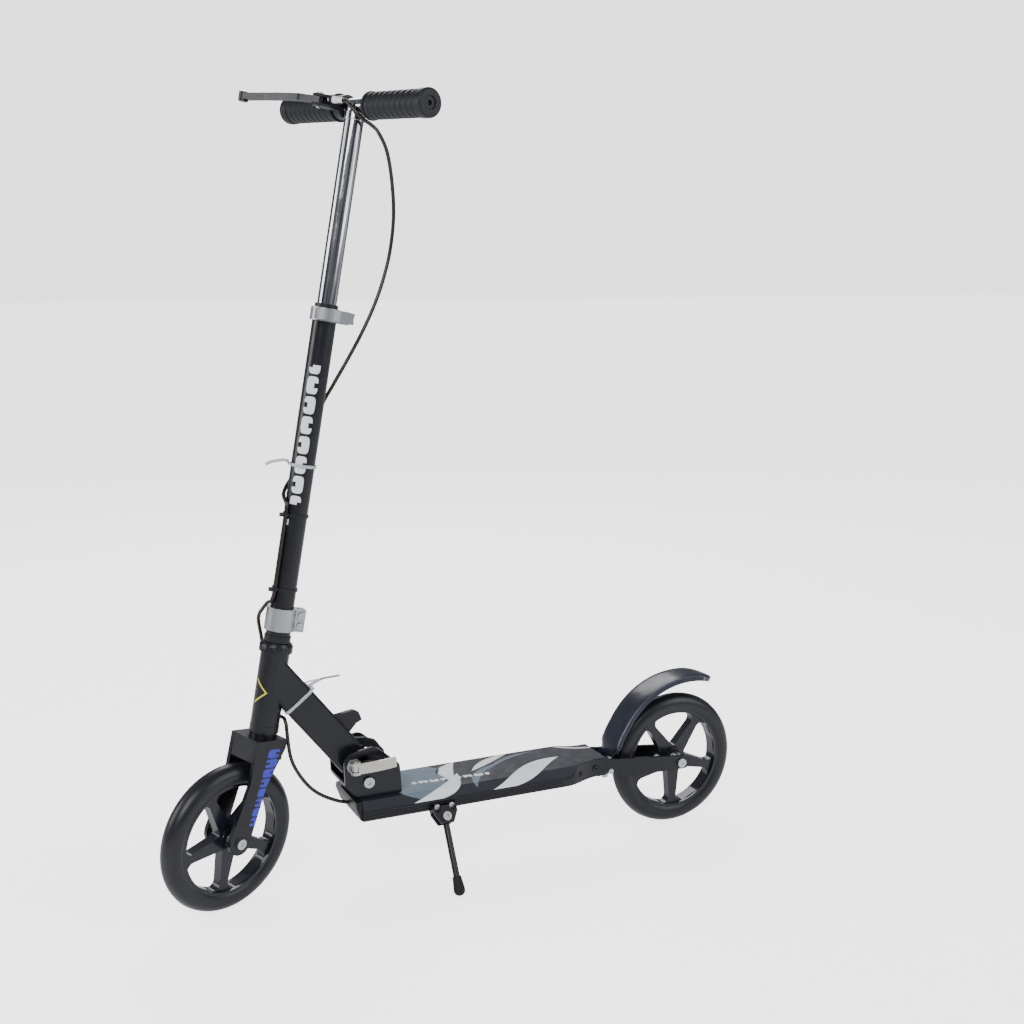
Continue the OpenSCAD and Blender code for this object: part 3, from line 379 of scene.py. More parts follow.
class Finish:
    """One material, and the nodes that vary it."""

    def __init__(self, name, colour, roughness, metallic=0.0, **constants):
        self.material = bpy.data.materials.new(name)
        self.material.use_nodes = True
        self.tree = self.material.node_tree
        self.shader = self.tree.nodes["Principled BSDF"]
        self.colour = tuple(colour)
        self.put("Base Color", self.colour)
        self.put("Roughness", roughness)
        self.put("Metallic", metallic)
        for socket, value in constants.items():
            self.put(socket.replace("_", " "), value)

    def put(self, socket, value):
        target = self.shader.inputs[socket] if isinstance(socket, str) else socket
        if isinstance(value, Signal):
            self.tree.links.new(value.socket, target)
        elif hasattr(value, "__len__") and len(value) == 3 and target.type == "RGBA":
            target.default_value = (*value, 1.0)
        else:
            target.default_value = value

    def add(self, kind, settings=None, sockets=None, out=0):
        node = self.tree.nodes.new(kind)
        for name, value in (settings or {}).items():
            setattr(node, name, value)
        for name, value in (sockets or {}).items():
            self.put(node.inputs[name], value)
        return Signal(self, node.outputs[out])

    def place(self):
        return self.add("ShaderNodeTexCoord", out="Object")

    def along(self, axes, row):
        """Distance along one direction of a frame, in millimetres."""
        direction = axes.rows[row] / MM
        dot = self.add("ShaderNodeVectorMath", {"operation": "DOT_PRODUCT"},
                       {0: self.place(), 1: tuple(direction)}, out="Value")
        return dot - float(axes.origin @ direction)

    def noise(self, scale, detail=4.0, stretch=None):
        """Soft random value from 0 to 1; stretch scales the three directions."""
        place = self.place()
        if stretch is not None:
            place = self.add("ShaderNodeMapping", {"vector_type": "POINT"},
                             {"Vector": place, "Scale": stretch})
        return self.add("ShaderNodeTexNoise", None,
                        {"Vector": place, "Scale": scale, "Detail": detail})

    def mix(self, factor, first, second):
        return self.add("ShaderNodeMix", {"data_type": "RGBA"},
                        {0: factor, 6: first, 7: second}, out=2)

    def shapes(self, run, side, pitch, tall, wide):
        """Below zero inside a row of plump rounded shapes along run, one to each pitch. Each is
        ((off / tall)^4 + (side / wide)^4)^(1/4) - 1, with a notch that swings across it."""
        off = pitch / 2 - self.add("ShaderNodeMath", {"operation": "PINGPONG"},
                                   {0: run, 1: pitch / 2})
        body = ((off / tall) ** 4 + (side / wide) ** 4) ** 0.25 - 1.0
        swing = self.add("ShaderNodeMath", {"operation": "SINE"},
                         {0: run * (math.pi / pitch)}) * (wide * 0.8)
        notch = (abs(side - swing) / wide - 0.45).upper(off / tall - 0.3)
        return body.upper(notch * -1.0) * min(tall, wide)

    def bump(self, height, strength, distance=0.001):
        self.put("Normal", self.add("ShaderNodeBump", None, {
            "Height": height, "Strength": strength, "Distance": distance}))

    def shade(self, amount, scale):
        """The base colour, a little lighter and darker in soft patches."""
        patch = self.noise(scale).ramp(0.3, 0.7)
        light = tuple(min(1.0, c * (1 + amount) + 0.004 * amount) for c in self.colour)
        dark = tuple(c * (1 - amount) for c in self.colour)
        return self.mix(patch, dark, light)


def dusted(finish, amount):
    """Fine pale dust that gathers in patches."""
    patch = finish.noise(14.0, 6.0).ramp(0.52, 0.78) * finish.noise(420.0, 2.0).ramp(0.4, 0.7)
    return patch * amount


def paint_finish(name, colour):
    """Satin powder coat: soft patches of tone, a fine orange-peel surface and light dust."""
    finish = Finish(name, colour, 0.3, Specular_IOR_Level=0.32, Coat_Weight=0.16,
                    Coat_Roughness=0.14)
    tone = finish.shade(0.22, 16.0)
    dust = dusted(finish, 0.06)
    finish.body = finish.mix(dust, tone, (0.25, 0.26, 0.3))
    finish.put("Base Color", finish.body)
    finish.put("Roughness", finish.noise(55.0, 5.0).ramp(0.25, 0.75, 0.24, 0.38) + dust)
    finish.bump(finish.noise(1500.0, 2.0), 0.08, 0.0003)
    return finish


def marked(finish, mask, colour):
    """Adds a mark in one colour, which shows where the mask is 1: mostly print, also wear and the fender's painted
    highlight.
    """
    finish.body = finish.mix(mask, finish.body, colour)
    finish.put("Base Color", finish.body)


def metal_finish(name, colour, roughness, grain=None, wear=0.12):
    """Bare or plated metal: a drawn grain, dull patches and fine scratches."""
    finish = Finish(name, colour, roughness, 1.0)
    patch = finish.noise(38.0, 5.0).ramp(0.35, 0.75)
    fine = finish.noise(700.0, 3.0, grain or (1.0, 1.0, 0.06))
    dark = tuple(c * 0.78 for c in colour)
    finish.body = finish.mix(patch * 0.5 + fine * 0.35, colour, dark)
    finish.put("Base Color", finish.body)
    finish.put("Roughness", fine * wear + patch * 0.08 + (roughness - 0.06))
    finish.bump(fine, 0.06, 0.0003)
    return finish


def moulded_finish(name, colour, roughness, speck=900.0, bump=0.12, **constants):
    """Moulded plastic or rubber: fine spark texture and worn, paler patches."""
    finish = Finish(name, colour, roughness, Specular_IOR_Level=0.35, **constants)
    rub = finish.noise(24.0, 6.0).ramp(0.5, 0.8)
    pale = tuple(min(1.0, c * 1.4 + 0.002) for c in colour)
    finish.body = finish.mix(rub * 0.7, colour, pale)
    finish.put("Base Color", finish.body)
    finish.put("Roughness", rub * 0.1 + finish.noise(speck, 2.0) * 0.1 + (roughness - 0.07))
    finish.bump(finish.noise(speck, 3.0), bump, 0.0004)
    return finish


def head_marks(colours):
    """Paint of the head frame, with an open chevron on the left side of the head tube."""
    finish = paint_finish("frame paint", colours.paint)
    around = finish.add("ShaderNodeMath", {"operation": "ARCTAN2"}, {
        0: finish.along(HEAD, 1), 1: finish.along(HEAD, 0)}) * 19.0
    up = finish.along(HEAD, 2) - (HEAD_LOW + 45)
    arm = abs(around + abs(up) * 1.12 - 20.4) - 1.5
    window = (around * -1.0 + 3.0).upper(abs(up) - 16.5)
    marked(finish, arm.inside(0.5) * window.inside(0.5), colours.yellow)
    return finish


def fork_marks(colours):
    """Paint of the fork, with slanted stripes down the outside of each leg."""
    finish = paint_finish("fork paint", colours.paint)
    up = finish.along(STEER, 2) - (CUP_LOW - 68)
    slant = finish.along(STEER, 0) - 8.0 + up * 0.157
    outside = (27.0 - abs(finish.along(STEER, 1))).inside(0.3)
    row = finish.shapes(up, slant, 12.9, 5.6, 9.5)
    mask = row.upper(abs(up) - 51.6).inside(0.6) * outside
    marked(finish, mask, colours.blue)
    return finish


def column_marks(colours):
    """Paint of the column, with a run of fat white strokes down its front left."""
    finish = paint_finish("column paint", colours.paint)
    around = finish.add("ShaderNodeMath", {"operation": "ARCTAN2"}, {
        0: finish.along(STEER, 1), 1: finish.along(STEER, 0)}) * 15.5 - 10.0
    up = finish.along(STEER, 2) - (CLAMP_TOP + 228)
    row = finish.shapes(up, around, 25.8, 11.2, 7.4)
    marked(finish, row.upper(abs(up) - 90.3).inside(0.6), colours.white)
    below = 114.0
    dash = (abs(up + below) - 4.0).upper(abs(around + 6.0) - 1.2)
    marked(finish, dash.inside(0.4), colours.white)
    return finish


def fender_pattern(colours):
    """Fender paint with faint curved leaves pressed into it and a painted highlight: a pale line along the
    shoulder of each side.
    """
    finish = paint_finish("fender paint", colours.fender)
    x = finish.along(ROW, 0) - REAR_HUB[0] / MM
    z = finish.along(ROW, 2) - REAR_HUB[2] / MM
    y = finish.along(ROW, 1)
    turn = finish.add("ShaderNodeMath", {"operation": "ARCTAN2"}, {0: z, 1: x}) * 125.0
    wave = finish.add("ShaderNodeMath", {"operation": "SINE"}, {0: turn * 0.045}) * 8.0
    leaf = abs(y - wave) - finish.add(
        "ShaderNodeMath", {"operation": "SINE"}, {0: turn * 0.09 + 0.6}) * 4.5 - 1.0
    finish.bump(leaf.inside(2.4) * 0.5 + finish.noise(1500.0, 2.0) * 0.03, 0.35, 0.0006)
    # Painted highlight: a pale grey-blue line, broken up by noise, along each shoulder of the fender where the
    # edge would catch the light.
    line = (abs(abs(y) - FENDER_HALF + 1.6) - 0.5).inside(0.5)
    marked(finish, line * finish.noise(16.0, 3.0).ramp(0.35, 0.6, 0.25, 0.8), (0.22, 0.24, 0.3))
    return finish


def deck_sheet(colours):
    """Printed deck sheet: a gritty ground with a grey-blue patch, curved blades in white and
    grey, a broken line of small marks along the middle, and pale stripes toward the tail."""
    finish = Finish("deck sheet", colours.sheet, 0.55, Specular_IOR_Level=0.35)
    fall = (DECK_TOP + 1.0 - finish.along(ROW, 2)).upper(0.0)
    side = finish.add("ShaderNodeMath", {"operation": "SIGN"}, {0: finish.along(ROW, 1)})
    x = finish.along(ROW, 0) + fall * 0.95
    y = finish.along(ROW, 1) + side * fall * 2.25

    def oval(at, across, long, wide):
        """Below zero inside an oval."""
        u, v = (x - at) / long, (y - across) / wide
        return ((u * u + v * v) ** 0.5 - 1.0) * min(long, wide)

    def blade(start, end, over, under, sway=0.0):
        """Below zero between two arcs that share both tips and rise over and under the line
        that joins them; sway bends the whole blade into an S."""
        start, end = np.array(start, float), np.array(end, float)
        half = np.linalg.norm(end - start) / 2
        way, middle = (end - start) / (2 * half), (start + end) / 2
        u = (x * way[0] + y * way[1] - float(middle @ way)) / half
        v = y * way[0] - x * way[1] - float(middle[1] * way[0] - middle[0] * way[1])
        bow = (1 - u * u).upper(0.0)
        if sway:
            v = v - u * bow * sway
        edge = (v - bow * over).upper(bow * under - v)
        return edge.upper((abs(u) - 1.0) * 40.0)

    finish.body = finish.mix(finish.noise(9.0, 3.0).ramp(0.3, 0.7),
                             tuple(c * 0.85 for c in colours.sheet),
                             tuple(c * 1.15 for c in colours.sheet))
    patch = oval(70, 12, 46, 66).upper(blade((-10, -60), (60, 100), 30, -14) * -1.0)
    marked(finish, patch.inside(1.0), colours.ink)
    for start, end, over, under, ink in (
            ((2, -43), (26, 24), -2, -25, colours.white),
            ((14, 0), (118, 84), 32, 4, colours.white),
            ((30, -30), (42, -6), 1, -4, colours.sheet),
            ((-81, -43), (-8, 1), 2, -12, colours.white),
            ((-123, -36), (-30, 8), -8, -15, colours.ink),
            ((-50, -12), (8, 62), -7, -19, colours.ink),
            ((-153, -44), (-232, -14), -6, -11, colours.white),
            ((-144, 86), (-236, 50), -8, -16, colours.white)):
        marked(finish, blade(start, end, over, under).inside(0.9), ink)
    marked(finish, blade((-147, 0), (-6, 80), 17, -17, 16.0).inside(0.9), colours.white)
    middle = y - 14.5 + (x - 29) * 0.079
    row = finish.shapes(x - 29, middle, 16.3, 6.6, 4.4)
    marked(finish, row.upper(abs(x - 29) - 57.0).inside(0.6), colours.white)
    wear = finish.noise(30.0, 6.0).ramp(0.62, 0.85) * 0.25
    marked(finish, wear, tuple(c * 1.8 for c in colours.sheet))
    finish.put("Roughness", finish.noise(60.0, 4.0).ramp(0.3, 0.7, 0.46, 0.62))
    finish.bump(finish.noise(1100.0, 3.0), 0.3, 0.0004)
    return finish


def chrome_finish():
    """Bright chrome with faint drawn streaks along the tube and finger-dull patches, and painted reflections: its
    colour runs from dark to bright in bands set by the angle round the tube.
    """
    colour = (0.74, 0.75, 0.78)
    finish = Finish("bright chrome", colour, 0.08, 1.0)
    ahead, across = finish.along(STEER, 0), finish.along(STEER, 1)
    around = finish.add("ShaderNodeMath", {"operation": "ARCTAN2"}, {0: across, 1: ahead})
    up = finish.along(STEER, 2)
    # Painted reflection: dark and bright bands of colour round the tube stand in for the surroundings mirrored in
    # the chrome.
    painted_reflection_bands = finish.add("ShaderNodeTexNoise", {"noise_dimensions": "2D"}, {
        "Vector": finish.add("ShaderNodeCombineXYZ", None, {0: around * 2.6, 1: up * 0.003}),
        "Scale": 1.6, "Detail": 3.0}).ramp(0.35, 0.68)
    finish.body = finish.mix(painted_reflection_bands, (0.13, 0.135, 0.15), colour)
    finish.put("Base Color", finish.body)
    finish.put("Roughness", finish.noise(40.0, 5.0).ramp(0.45, 0.8, 0.06, 0.2))
    finish.bump(finish.noise(300.0, 2.0, (1.0, 1.0, 0.1)), 0.02, 0.0003)
    return finish


def nylon_finish():
    """Natural nylon: milky, lets some light through, with a fine ribbed surface."""
    finish = Finish("nylon", (0.8, 0.84, 0.9), 0.28, Transmission_Weight=0.5, IOR=1.53)
    finish.put("Base Color", finish.mix(finish.noise(60.0, 3.0).ramp(0.4, 0.7),
                                        (0.78, 0.83, 0.9), (0.87, 0.87, 0.86)))
    finish.put("Roughness", finish.noise(200.0, 3.0).ramp(0.3, 0.7, 0.22, 0.36))
    finish.bump(finish.noise(900.0, 2.0), 0.1, 0.0003)
    return finish


def make_finishes(colours):
    """Every finish, under the name of its slot."""
    made = {
        "black_paint": paint_finish("black paint", colours.paint),
        "frame_paint": head_marks(colours),
        "fork_paint": fork_marks(colours),
        "column_paint": column_marks(colours),
        "fender_paint": fender_pattern(colours),
        "deck_print": deck_sheet(colours),
        "black_plastic": moulded_finish("black plastic", (0.011, 0.0115, 0.015), 0.42),
        "rim_nylon": moulded_finish("wheel nylon", colours.wheel, 0.27, 500.0, 0.05,
                                    Coat_Weight=0.25, Coat_Roughness=0.12),
        "tyre_pu": moulded_finish("cast tyre", colours.tyre, 0.36, 700.0, 0.06,
                                  Coat_Weight=0.15, Coat_Roughness=0.3),
        "grip_rubber": moulded_finish("grip rubber", colours.grip, 0.52, 1300.0, 0.3),
        "foot_rubber": moulded_finish("foot rubber", (0.008, 0.008, 0.01), 0.6, 1000.0, 0.3),
        "zinc": metal_finish("zinc plate", (0.6, 0.61, 0.63), 0.28),
        "bearing_steel": metal_finish("ground steel", (0.5, 0.51, 0.53), 0.25),
        "silver_alloy": metal_finish("silver alloy", colours.silver, 0.34),
        "lever_silver": metal_finish("cast lever", (0.66, 0.64, 0.57), 0.36),
        "bright_chrome": chrome_finish(),
        "nylon": nylon_finish(),
        "white_plastic": moulded_finish("white plastic", (0.82, 0.83, 0.86), 0.3, 500.0, 0.06),
        "cable_sheath": moulded_finish("cable sheath", colours.sheath, 0.3, 1200.0, 0.08,
                                       Coat_Weight=0.2, Coat_Roughness=0.15),
    }
    return {slot: finish.material for slot, finish in made.items()}


FINISHES = {}


# ---- Brake cable route, as the part's source gives it, in millimetres ----

ADJUSTER_AT = np.array([27, -13, BAR_K + 3])
ADJUSTER_WAY = np.array([-0.5, 0.866, 0])
ADJUSTER_LEN = 13.4
# The middle of the wheelbase, from which the lower cable is laid out.
MID = Axes(np.array([PIVOT[0] - 0.151523, 0, 0]), [1, 0, 0], [0, 1, 0], [0, 0, 1])
PIVOT_MM = np.array([151.523, 0, 151])
CABLE_Y = 10                            # the channel of the cable inside the deck
AXIS_X = PIVOT_MM[0] + 173.9
DECK_FRONT = AXIS_X - 160.4
DECK_BACK = -214
DECK_Z = 102


def wrap(angle, radius, up):
    """A point round the column."""
    return [radius * math.cos(math.radians(angle)), radius * math.sin(math.radians(angle)), up]


def share(t):
    """Height on the stem, as a share of the way from the clamp to the handlebar."""
    return CLAMP_TOP + t * (BAR_K - CLAMP_TOP)


def beside(joint, way):
    """A joint's own place and one a short way after it."""
    joint, way = np.asarray(joint, float), unit(np.asarray(way, float))
    return [joint, joint + 5 * way]


def reach(joint, way):
    """A place a short way before a joint and the joint's own place."""
    joint, way = np.asarray(joint, float), unit(np.asarray(way, float))
    return [joint - 5 * way, joint]


COLUMN_JOINT, COLUMN_WAY = wrap(225.4, 18.8, CLAMP_TOP + 197), [3, -3.5, -20]
STEER_JOINT, STEER_WAY = [20.8, -9, CLAMP_TOP + 1], [1.9, -11, -17]
FOLD_JOINT, FOLD_WAY = [AXIS_X - 70.1, 4, HEAD_LOW - 4.5], [-0.1, 0.6, -0.8]
DECK_JOINT, DECK_WAY = [DECK_FRONT + 7, CABLE_Y, DECK_Z + 15], [-20, 0, -4]


def top_route():
    start = beside(ADJUSTER_AT + ADJUSTER_LEN * ADJUSTER_WAY, ADJUSTER_WAY) + [
        [14.5, 11.5, BAR_K - 4], [4, 21, BAR_K - 15], [-14, 20, BAR_K - 20]]
    points = [[-32, 14, BAR_K - 25], [-56, 8, BAR_K - 43], [-76, 4, BAR_K - 77],
              [-90, 2, share(0.816)], [-95, 0, share(0.748)], [-91, 0, share(0.689)],
              [-82, 0, share(0.632)], [-68, -1, share(0.571)], [-52, -3, share(0.513)],
              [-37, -6, share(0.46)], [-24, -10, share(0.406)]]
    return np.vstack([BAR.out(start), STEER.out(points + reach(COLUMN_JOINT, COLUMN_WAY))])


def column_route():
    turns = [(251.5, 19.2, 177), (288.6, 19.2, 159), (324.6, 19.2, 147), (358, 19, 139),
             (366.1, 18.9, 131), (367.6, 19, 73), (366.1, 18.9, 16)]
    points = beside(COLUMN_JOINT, COLUMN_WAY) + [
        wrap(angle, radius, CLAMP_TOP + up) for angle, radius, up in turns]
    return STEER.out(points + reach(STEER_JOINT, STEER_WAY))


def head_route():
    points = [np.array(p) + [AXIS_X, 0, HEAD_LOW] for p in (
        [-43.4, -15, 136.5], [-49.4, -27, 106.5], [-53.4, -27, 74.5], [-57.4, -26, 42.5],
        [-61.4, -25.5, 17], [-66, -15, 1])]
    return np.vstack([STEER.out(beside(STEER_JOINT, STEER_WAY)),
                      MID.out(points + reach(FOLD_JOINT, FOLD_WAY))])


def low_route():
    points = [np.array(p) + PIVOT_MM for p in (
        [103.5, 9.5, 77], [98.5, 10, 38], [82.5, 10, 6.5], [63.5, 10, -14], [40.5, 10, -27.5])]
    return MID.out(beside(FOLD_JOINT, FOLD_WAY) + points + reach(DECK_JOINT, DECK_WAY))


def deck_route():
    points = [[DECK_FRONT - 15, CABLE_Y, DECK_Z + 13], [0, CABLE_Y, DECK_Z + 13],
              [DECK_BACK + 64, CABLE_Y, DECK_Z + 12], [DECK_BACK + 34, CABLE_Y, DECK_Z + 6],
              [DECK_BACK + 14, CABLE_Y, DECK_Z - 4], [DECK_BACK - 2, CABLE_Y, DECK_Z - 8]]
    return MID.out(beside(DECK_JOINT, DECK_WAY) + points)


# ---- Operators ----

class SCOOTER_OT_finishes(bpy.types.Operator):
    """Makes every finish and lays it on the nodes of the frame"""
    bl_idname = "scooter.finishes"
    bl_label = "Make Finishes"

    def execute(self, context):
        FINISHES.update(make_finishes(context.scene.scooter_colours))
        for node, piece in frame["nodes"].items():
            dress(piece, SLOT_OF[node])
        return {"FINISHED"}


class SCOOTER_OT_tyres(bpy.types.Operator):
    """Turns both cast tyres, with a mould line round the tread"""
    bl_idname = "scooter.tyres"
    bl_label = "Make Tyres"

    def execute(self, context):
        seam = context.scene.scooter_sizes.tread_seam / MM
        for end in ("front", "rear"):
            node = end + "_tyre"
            low, high = box_mm("rear_tyre")
            outer, width = (high[2] - low[2]) / 2, high[1] - low[1]
            tyre_r = width / 2
            middle, seat = outer - tyre_r, outer - tyre_r - 9
            lean = math.degrees(math.asin((middle - seat) / tyre_r))
            turn = np.radians(np.linspace(-90 - (90 - (90 - lean)), 90 + lean, 49))
            radius = middle + tyre_r * np.cos(turn)
            along = tyre_r * np.sin(turn)
            radius = radius + seam * np.exp(-(along / 0.5) ** 2) * (np.cos(turn) > 0)
            profile = np.stack([along, radius], -1)
            piece = lathe(node + "_cast", profile, joint_at(end + "_wheel_spin"),
                          joint_axis(end + "_wheel_spin"), 160, closed=True)
            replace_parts(hold(piece, node), node)
        return {"FINISHED"}


class SCOOTER_OT_grips(bpy.types.Operator):
    """Turns both rubber grips, with grooves, a flange at each end and a hollow end cap"""
    bl_idname = "scooter.grips"
    bl_label = "Make Grips"

    def execute(self, context):
        depth = context.scene.scooter_sizes.grip_groove / MM
        inner, outer, big = 33.0, 151.0, 17.0
        along = np.linspace(inner + 4, outer - 15, 170)
        ribs = np.sin((along - inner - 6) * 2 * math.pi / 11.0)
        body = np.stack([along, big - depth * (1 / (1 + np.exp(7 * (ribs + 0.55))))], -1)
        profile = np.vstack([
            [[inner, 11.2], [inner, 16.6]], arc((inner + 1.4, 16.6), 1.4, 180, 90, 6),
            arc((inner + 2.6, 16.6), 1.4, 90, 0, 6), body,
            arc((outer - 13, 16.6), 1.2, 180, 90, 5), arc((outer - 3, 14.7), 3.1, 90, 0, 9),
            arc((outer - 1, 9.0), 1.0, 0, -90, 5) + [0.1, 0.0],
            [[outer - 1.8, 8.0], [outer - 1.8, 3.2], [outer - 5, 3.0], [outer - 5, 0.0]]])
        pieces = []
        for side in (1, -1):
            piece = lathe("grip_%s" % ("left" if side > 0 else "right"), profile,
                          BAR.out([0, 0, BAR_K]), BAR.rows[1] * side, 96)
            pieces.append(hold(piece, "grips"))
        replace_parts(pieces[0], "grips")
        return {"FINISHED"}


class SCOOTER_OT_cables(bpy.types.Operator):
    """Lays the brake cable from its adjuster, down the column and into the deck"""
    bl_idname = "scooter.cables"
    bl_label = "Lay Brake Cable"

    def execute(self, context):
        thick = context.scene.scooter_sizes.cable
        stretches = (
            ("brake_cable_top", top_route(), LEFT + 0.2 * UP, ("handlebar", "steering"),
             (share(0.92), share(0.42))),
            ("brake_cable_column", column_route(), LEFT + 0.3 * AHEAD, None, None),
            ("brake_cable_head", head_route(), [1, 0.1, 0], ("steering", "front_frame"), None),
            ("brake_cable_low", low_route(), [0, 1, 0.1], ("front_frame", "chassis"), None),
            ("brake_cable_deck", deck_route(), [0, 1, 0], None, None))
        for node, route, reference, bodies, levels in stretches:
            path = smooth_route(route, 0.004)
            piece = swept(node + "_sheath", path, circle(thick, 20), reference)
            if bodies:
                start, end = route[0], route[-1]
                if levels:
                    start, end = STEER.out([[0, 0, levels[0]], [0, 0, levels[1]]])
                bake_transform(piece)
                dress(piece, SLOT_OF[node])
            else:
                hold(piece, node)
            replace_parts(piece, node)
        return {"FINISHED"}


class SCOOTER_OT_ties(bpy.types.Operator):
    """Pulls the clear tail of the column's upper tie and winds the fender spring"""
    bl_idname = "scooter.ties"
    bl_label = "Make Ties and Spring"

    def execute(self, context):
        sizes = context.scene.scooter_sizes
        wide, thin = sizes.tie, 1.1 * MM
        top = CLAMP_TOP + 188
        turns = np.radians(np.linspace(-150, 200, 60))
        loop = STEER.out(np.stack([17.1 * np.cos(turns), 17.1 * np.sin(turns),
                                   np.full(60, top)], -1))
        tail = smooth_route(STEER.out([
            [17.5, -8, top], [24, -3, top + 4], [33, -1, top + 5], [42, 0, top + 4],
            [52, 0, top + 2], [61, 0, top - 2]]), 0.002)
        tube = np.array([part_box("frame_tie")[0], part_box("frame_tie")[1]])
        centre = tube.mean(0) / MM
        high = tube[1][2] / MM
        free = smooth_route(ROW.out([[tube[1][0] / MM - 14, 11, high - 13],
                                     [tube[1][0] / MM - 26, 11, high - 6],
                                     [tube[0][0] / MM + 22, 11, high - 2.4],
                                     [tube[0][0] / MM + 2, 11, high - 1.6]]), 0.002)
        flat = np.array([[-thin / 2, -wide / 2], [thin / 2, -wide / 2], [thin / 2, wide / 2],
                         [-thin / 2, wide / 2]])
        for name, path, reference, body in (
                ("tie_loop", loop, UP, "steering"), ("tie_tail", tail, UP, "steering"),
                ("frame_tie_tail", free, [0, 1, 0], "front_frame")):
            attach(swept(name, path, flat, reference, smooth=30), body, "nylon")
        wire = sizes.wire
        turns = np.linspace(0, 2 * math.pi * 3.4, 130)
        coil = PIN + MM * np.stack([5.8 * np.cos(turns), 13.9 + turns * 0.17,
                                    5.8 * np.sin(turns)], -1)
        piece = swept("fender_spring_coil", coil, circle(wire, 10), [0, 1, 0])
        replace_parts(hold(piece, "fender_spring"), "fender_spring")
        return {"FINISHED"}


class SCOOTER_OT_sheet(bpy.types.Operator):
    """Lays the printed sheet over the deck's flat and down both of its shoulders"""
    bl_idname = "scooter.sheet"
    bl_label = "Lay Deck Sheet"

    def execute(self, context):
        thick, sunk, crease_round = 0.9, 0.3, 0.35
        half_full, tail, tail_from, tail_run = DECK_HIGH[1], 32.0, 14.0, 60.0
        back, front = DECK_LOW[0], box_mm("deck_nose")[0][0] + 8
        along = np.linspace(back + 1.5, front - 1.0, 150)
        widened = np.clip((along - back - tail_from) / tail_run, 0, 1)
        half = tail + (half_full - tail) * (1 - np.cos(math.pi * widened)) / 2 - 0.4
        crease = half_full - SHOULDER_W
        shares = np.concatenate([np.linspace(0, 0.86, 14), np.linspace(0.875, 1.0, 14)])
        shares = np.concatenate([-shares[:0:-1], shares])
        y = half[:, None] * shares[None, :]
        over = np.abs(y) - crease
        fall = SHOULDER_H / SHOULDER_W * 0.5 * (over + np.sqrt(over ** 2 + crease_round ** 2))
        x = np.broadcast_to(along[:, None], y.shape)
        top = np.stack([x, y, DECK_TOP + thick - fall], -1)
        low = np.stack([x, y * 0.996, DECK_TOP - sunk - fall], -1)[:, ::-1]
        loop = np.concatenate([top, low], 1)
        piece = finished("deck_sheet", loop.reshape(-1, 3) * MM, capped_faces(*loop.shape[:2]), 40)
        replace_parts(hold(piece, "deck_grip"), "deck_grip")
        return {"FINISHED"}


class SCOOTER_OT_fender(bpy.types.Operator):
    """Presses the rear fender, which swells over the wheel, with a rolled lip and two lugs"""
    bl_idname = "scooter.fender"
    bl_label = "Press Fender"

    def execute(self, context):
        degrees = np.concatenate([np.linspace(10, 22, 20), np.linspace(22.8, 118, 100)])
        turn = np.radians(degrees)
        lift = 26 * (np.maximum(degrees - 35, 0) / 85) ** 1.15
        crown = 114.5 + lift
        # It swells over the fork arms, and its tail narrows to a round end.
        swell = np.clip((degrees - 14) / 6, 0, 1)
        end = np.clip((118 - degrees) / 16, 0, 1)
        half = FENDER_FOOT + (FENDER_HALF - FENDER_FOOT) * swell * swell * (3 - 2 * swell)
        half = half * np.sqrt(1 - (1 - end) ** 2.4 * 0.92)
        crown = crown - 3.0 * (1 - end) ** 2
        bend = np.linspace(-1, 1, 41)
        flat, lip = 0.8, 5.0
        wide = np.sign(bend) * np.minimum(np.abs(bend) / flat, 1.0)
        drop = np.maximum(np.abs(bend) - flat, 0) / (1 - flat) * lip
        drop = drop + 2.6 * (np.minimum(np.abs(bend) / flat, 1.0)) ** 5
        ridge = 0.5 * np.exp(-((np.abs(bend) - flat * 0.9) / 0.03) ** 2)
        drop = drop - ridge
        outer = self.shell(turn, crown, half, wide, drop, 0.0)
        inner = self.shell(turn, crown, half, wide, drop, 1.8)
        loop = np.concatenate([outer, inner[:, ::-1]], 1)
        piece = finished("fender_shell", loop.reshape(-1, 3) * MM,
                         capped_faces(*loop.shape[:2]), 40)
        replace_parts(hold(piece, "fender"), "fender")
        hub, foot = (REAR_HUB / MM)[[0, 2]], (PIN / MM)[[0, 2]]
        outline = np.vstack([arc(foot, 7.0, 200, 380, 19), arc(hub, 112.6, 13.4, 13.4, 1),
                             arc(hub, 106.0, 15, 15, 1)])
        count = len(outline)
        corner = np.arange(count)
        after = (corner + 1) % count
        rim = np.stack([corner, after, count + after, count + corner], -1).tolist()
        faces = [list(range(count)), list(range(2 * count - 1, count - 1, -1))] + rim
        for side, name in ((-1, "right"), (1, "left")):
            near = np.insert(outline, 1, side * FENDER_FOOT, axis=1)
            far = near - [0, side * 2.0, 0]
            hold(finished("fender_lug_" + name, np.vstack([near, far]) * MM, faces, 30), "fender")
        return {"FINISHED"}

    @staticmethod
    def shell(turn, crown, half, wide, drop, depth):
        """Places of one skin: radius = crown - drop - depth and side = (half - depth) * wide,
        carried through the turn about the rear axle."""
        radius = crown[:, None] - drop[None, :] - depth
        side = (half[:, None] - depth) * wide[None, :]
        hub = REAR_HUB / MM
        return np.stack([hub[0] + radius * np.cos(turn)[:, None], side,
                         hub[2] + radius * np.sin(turn)[:, None]], -1)


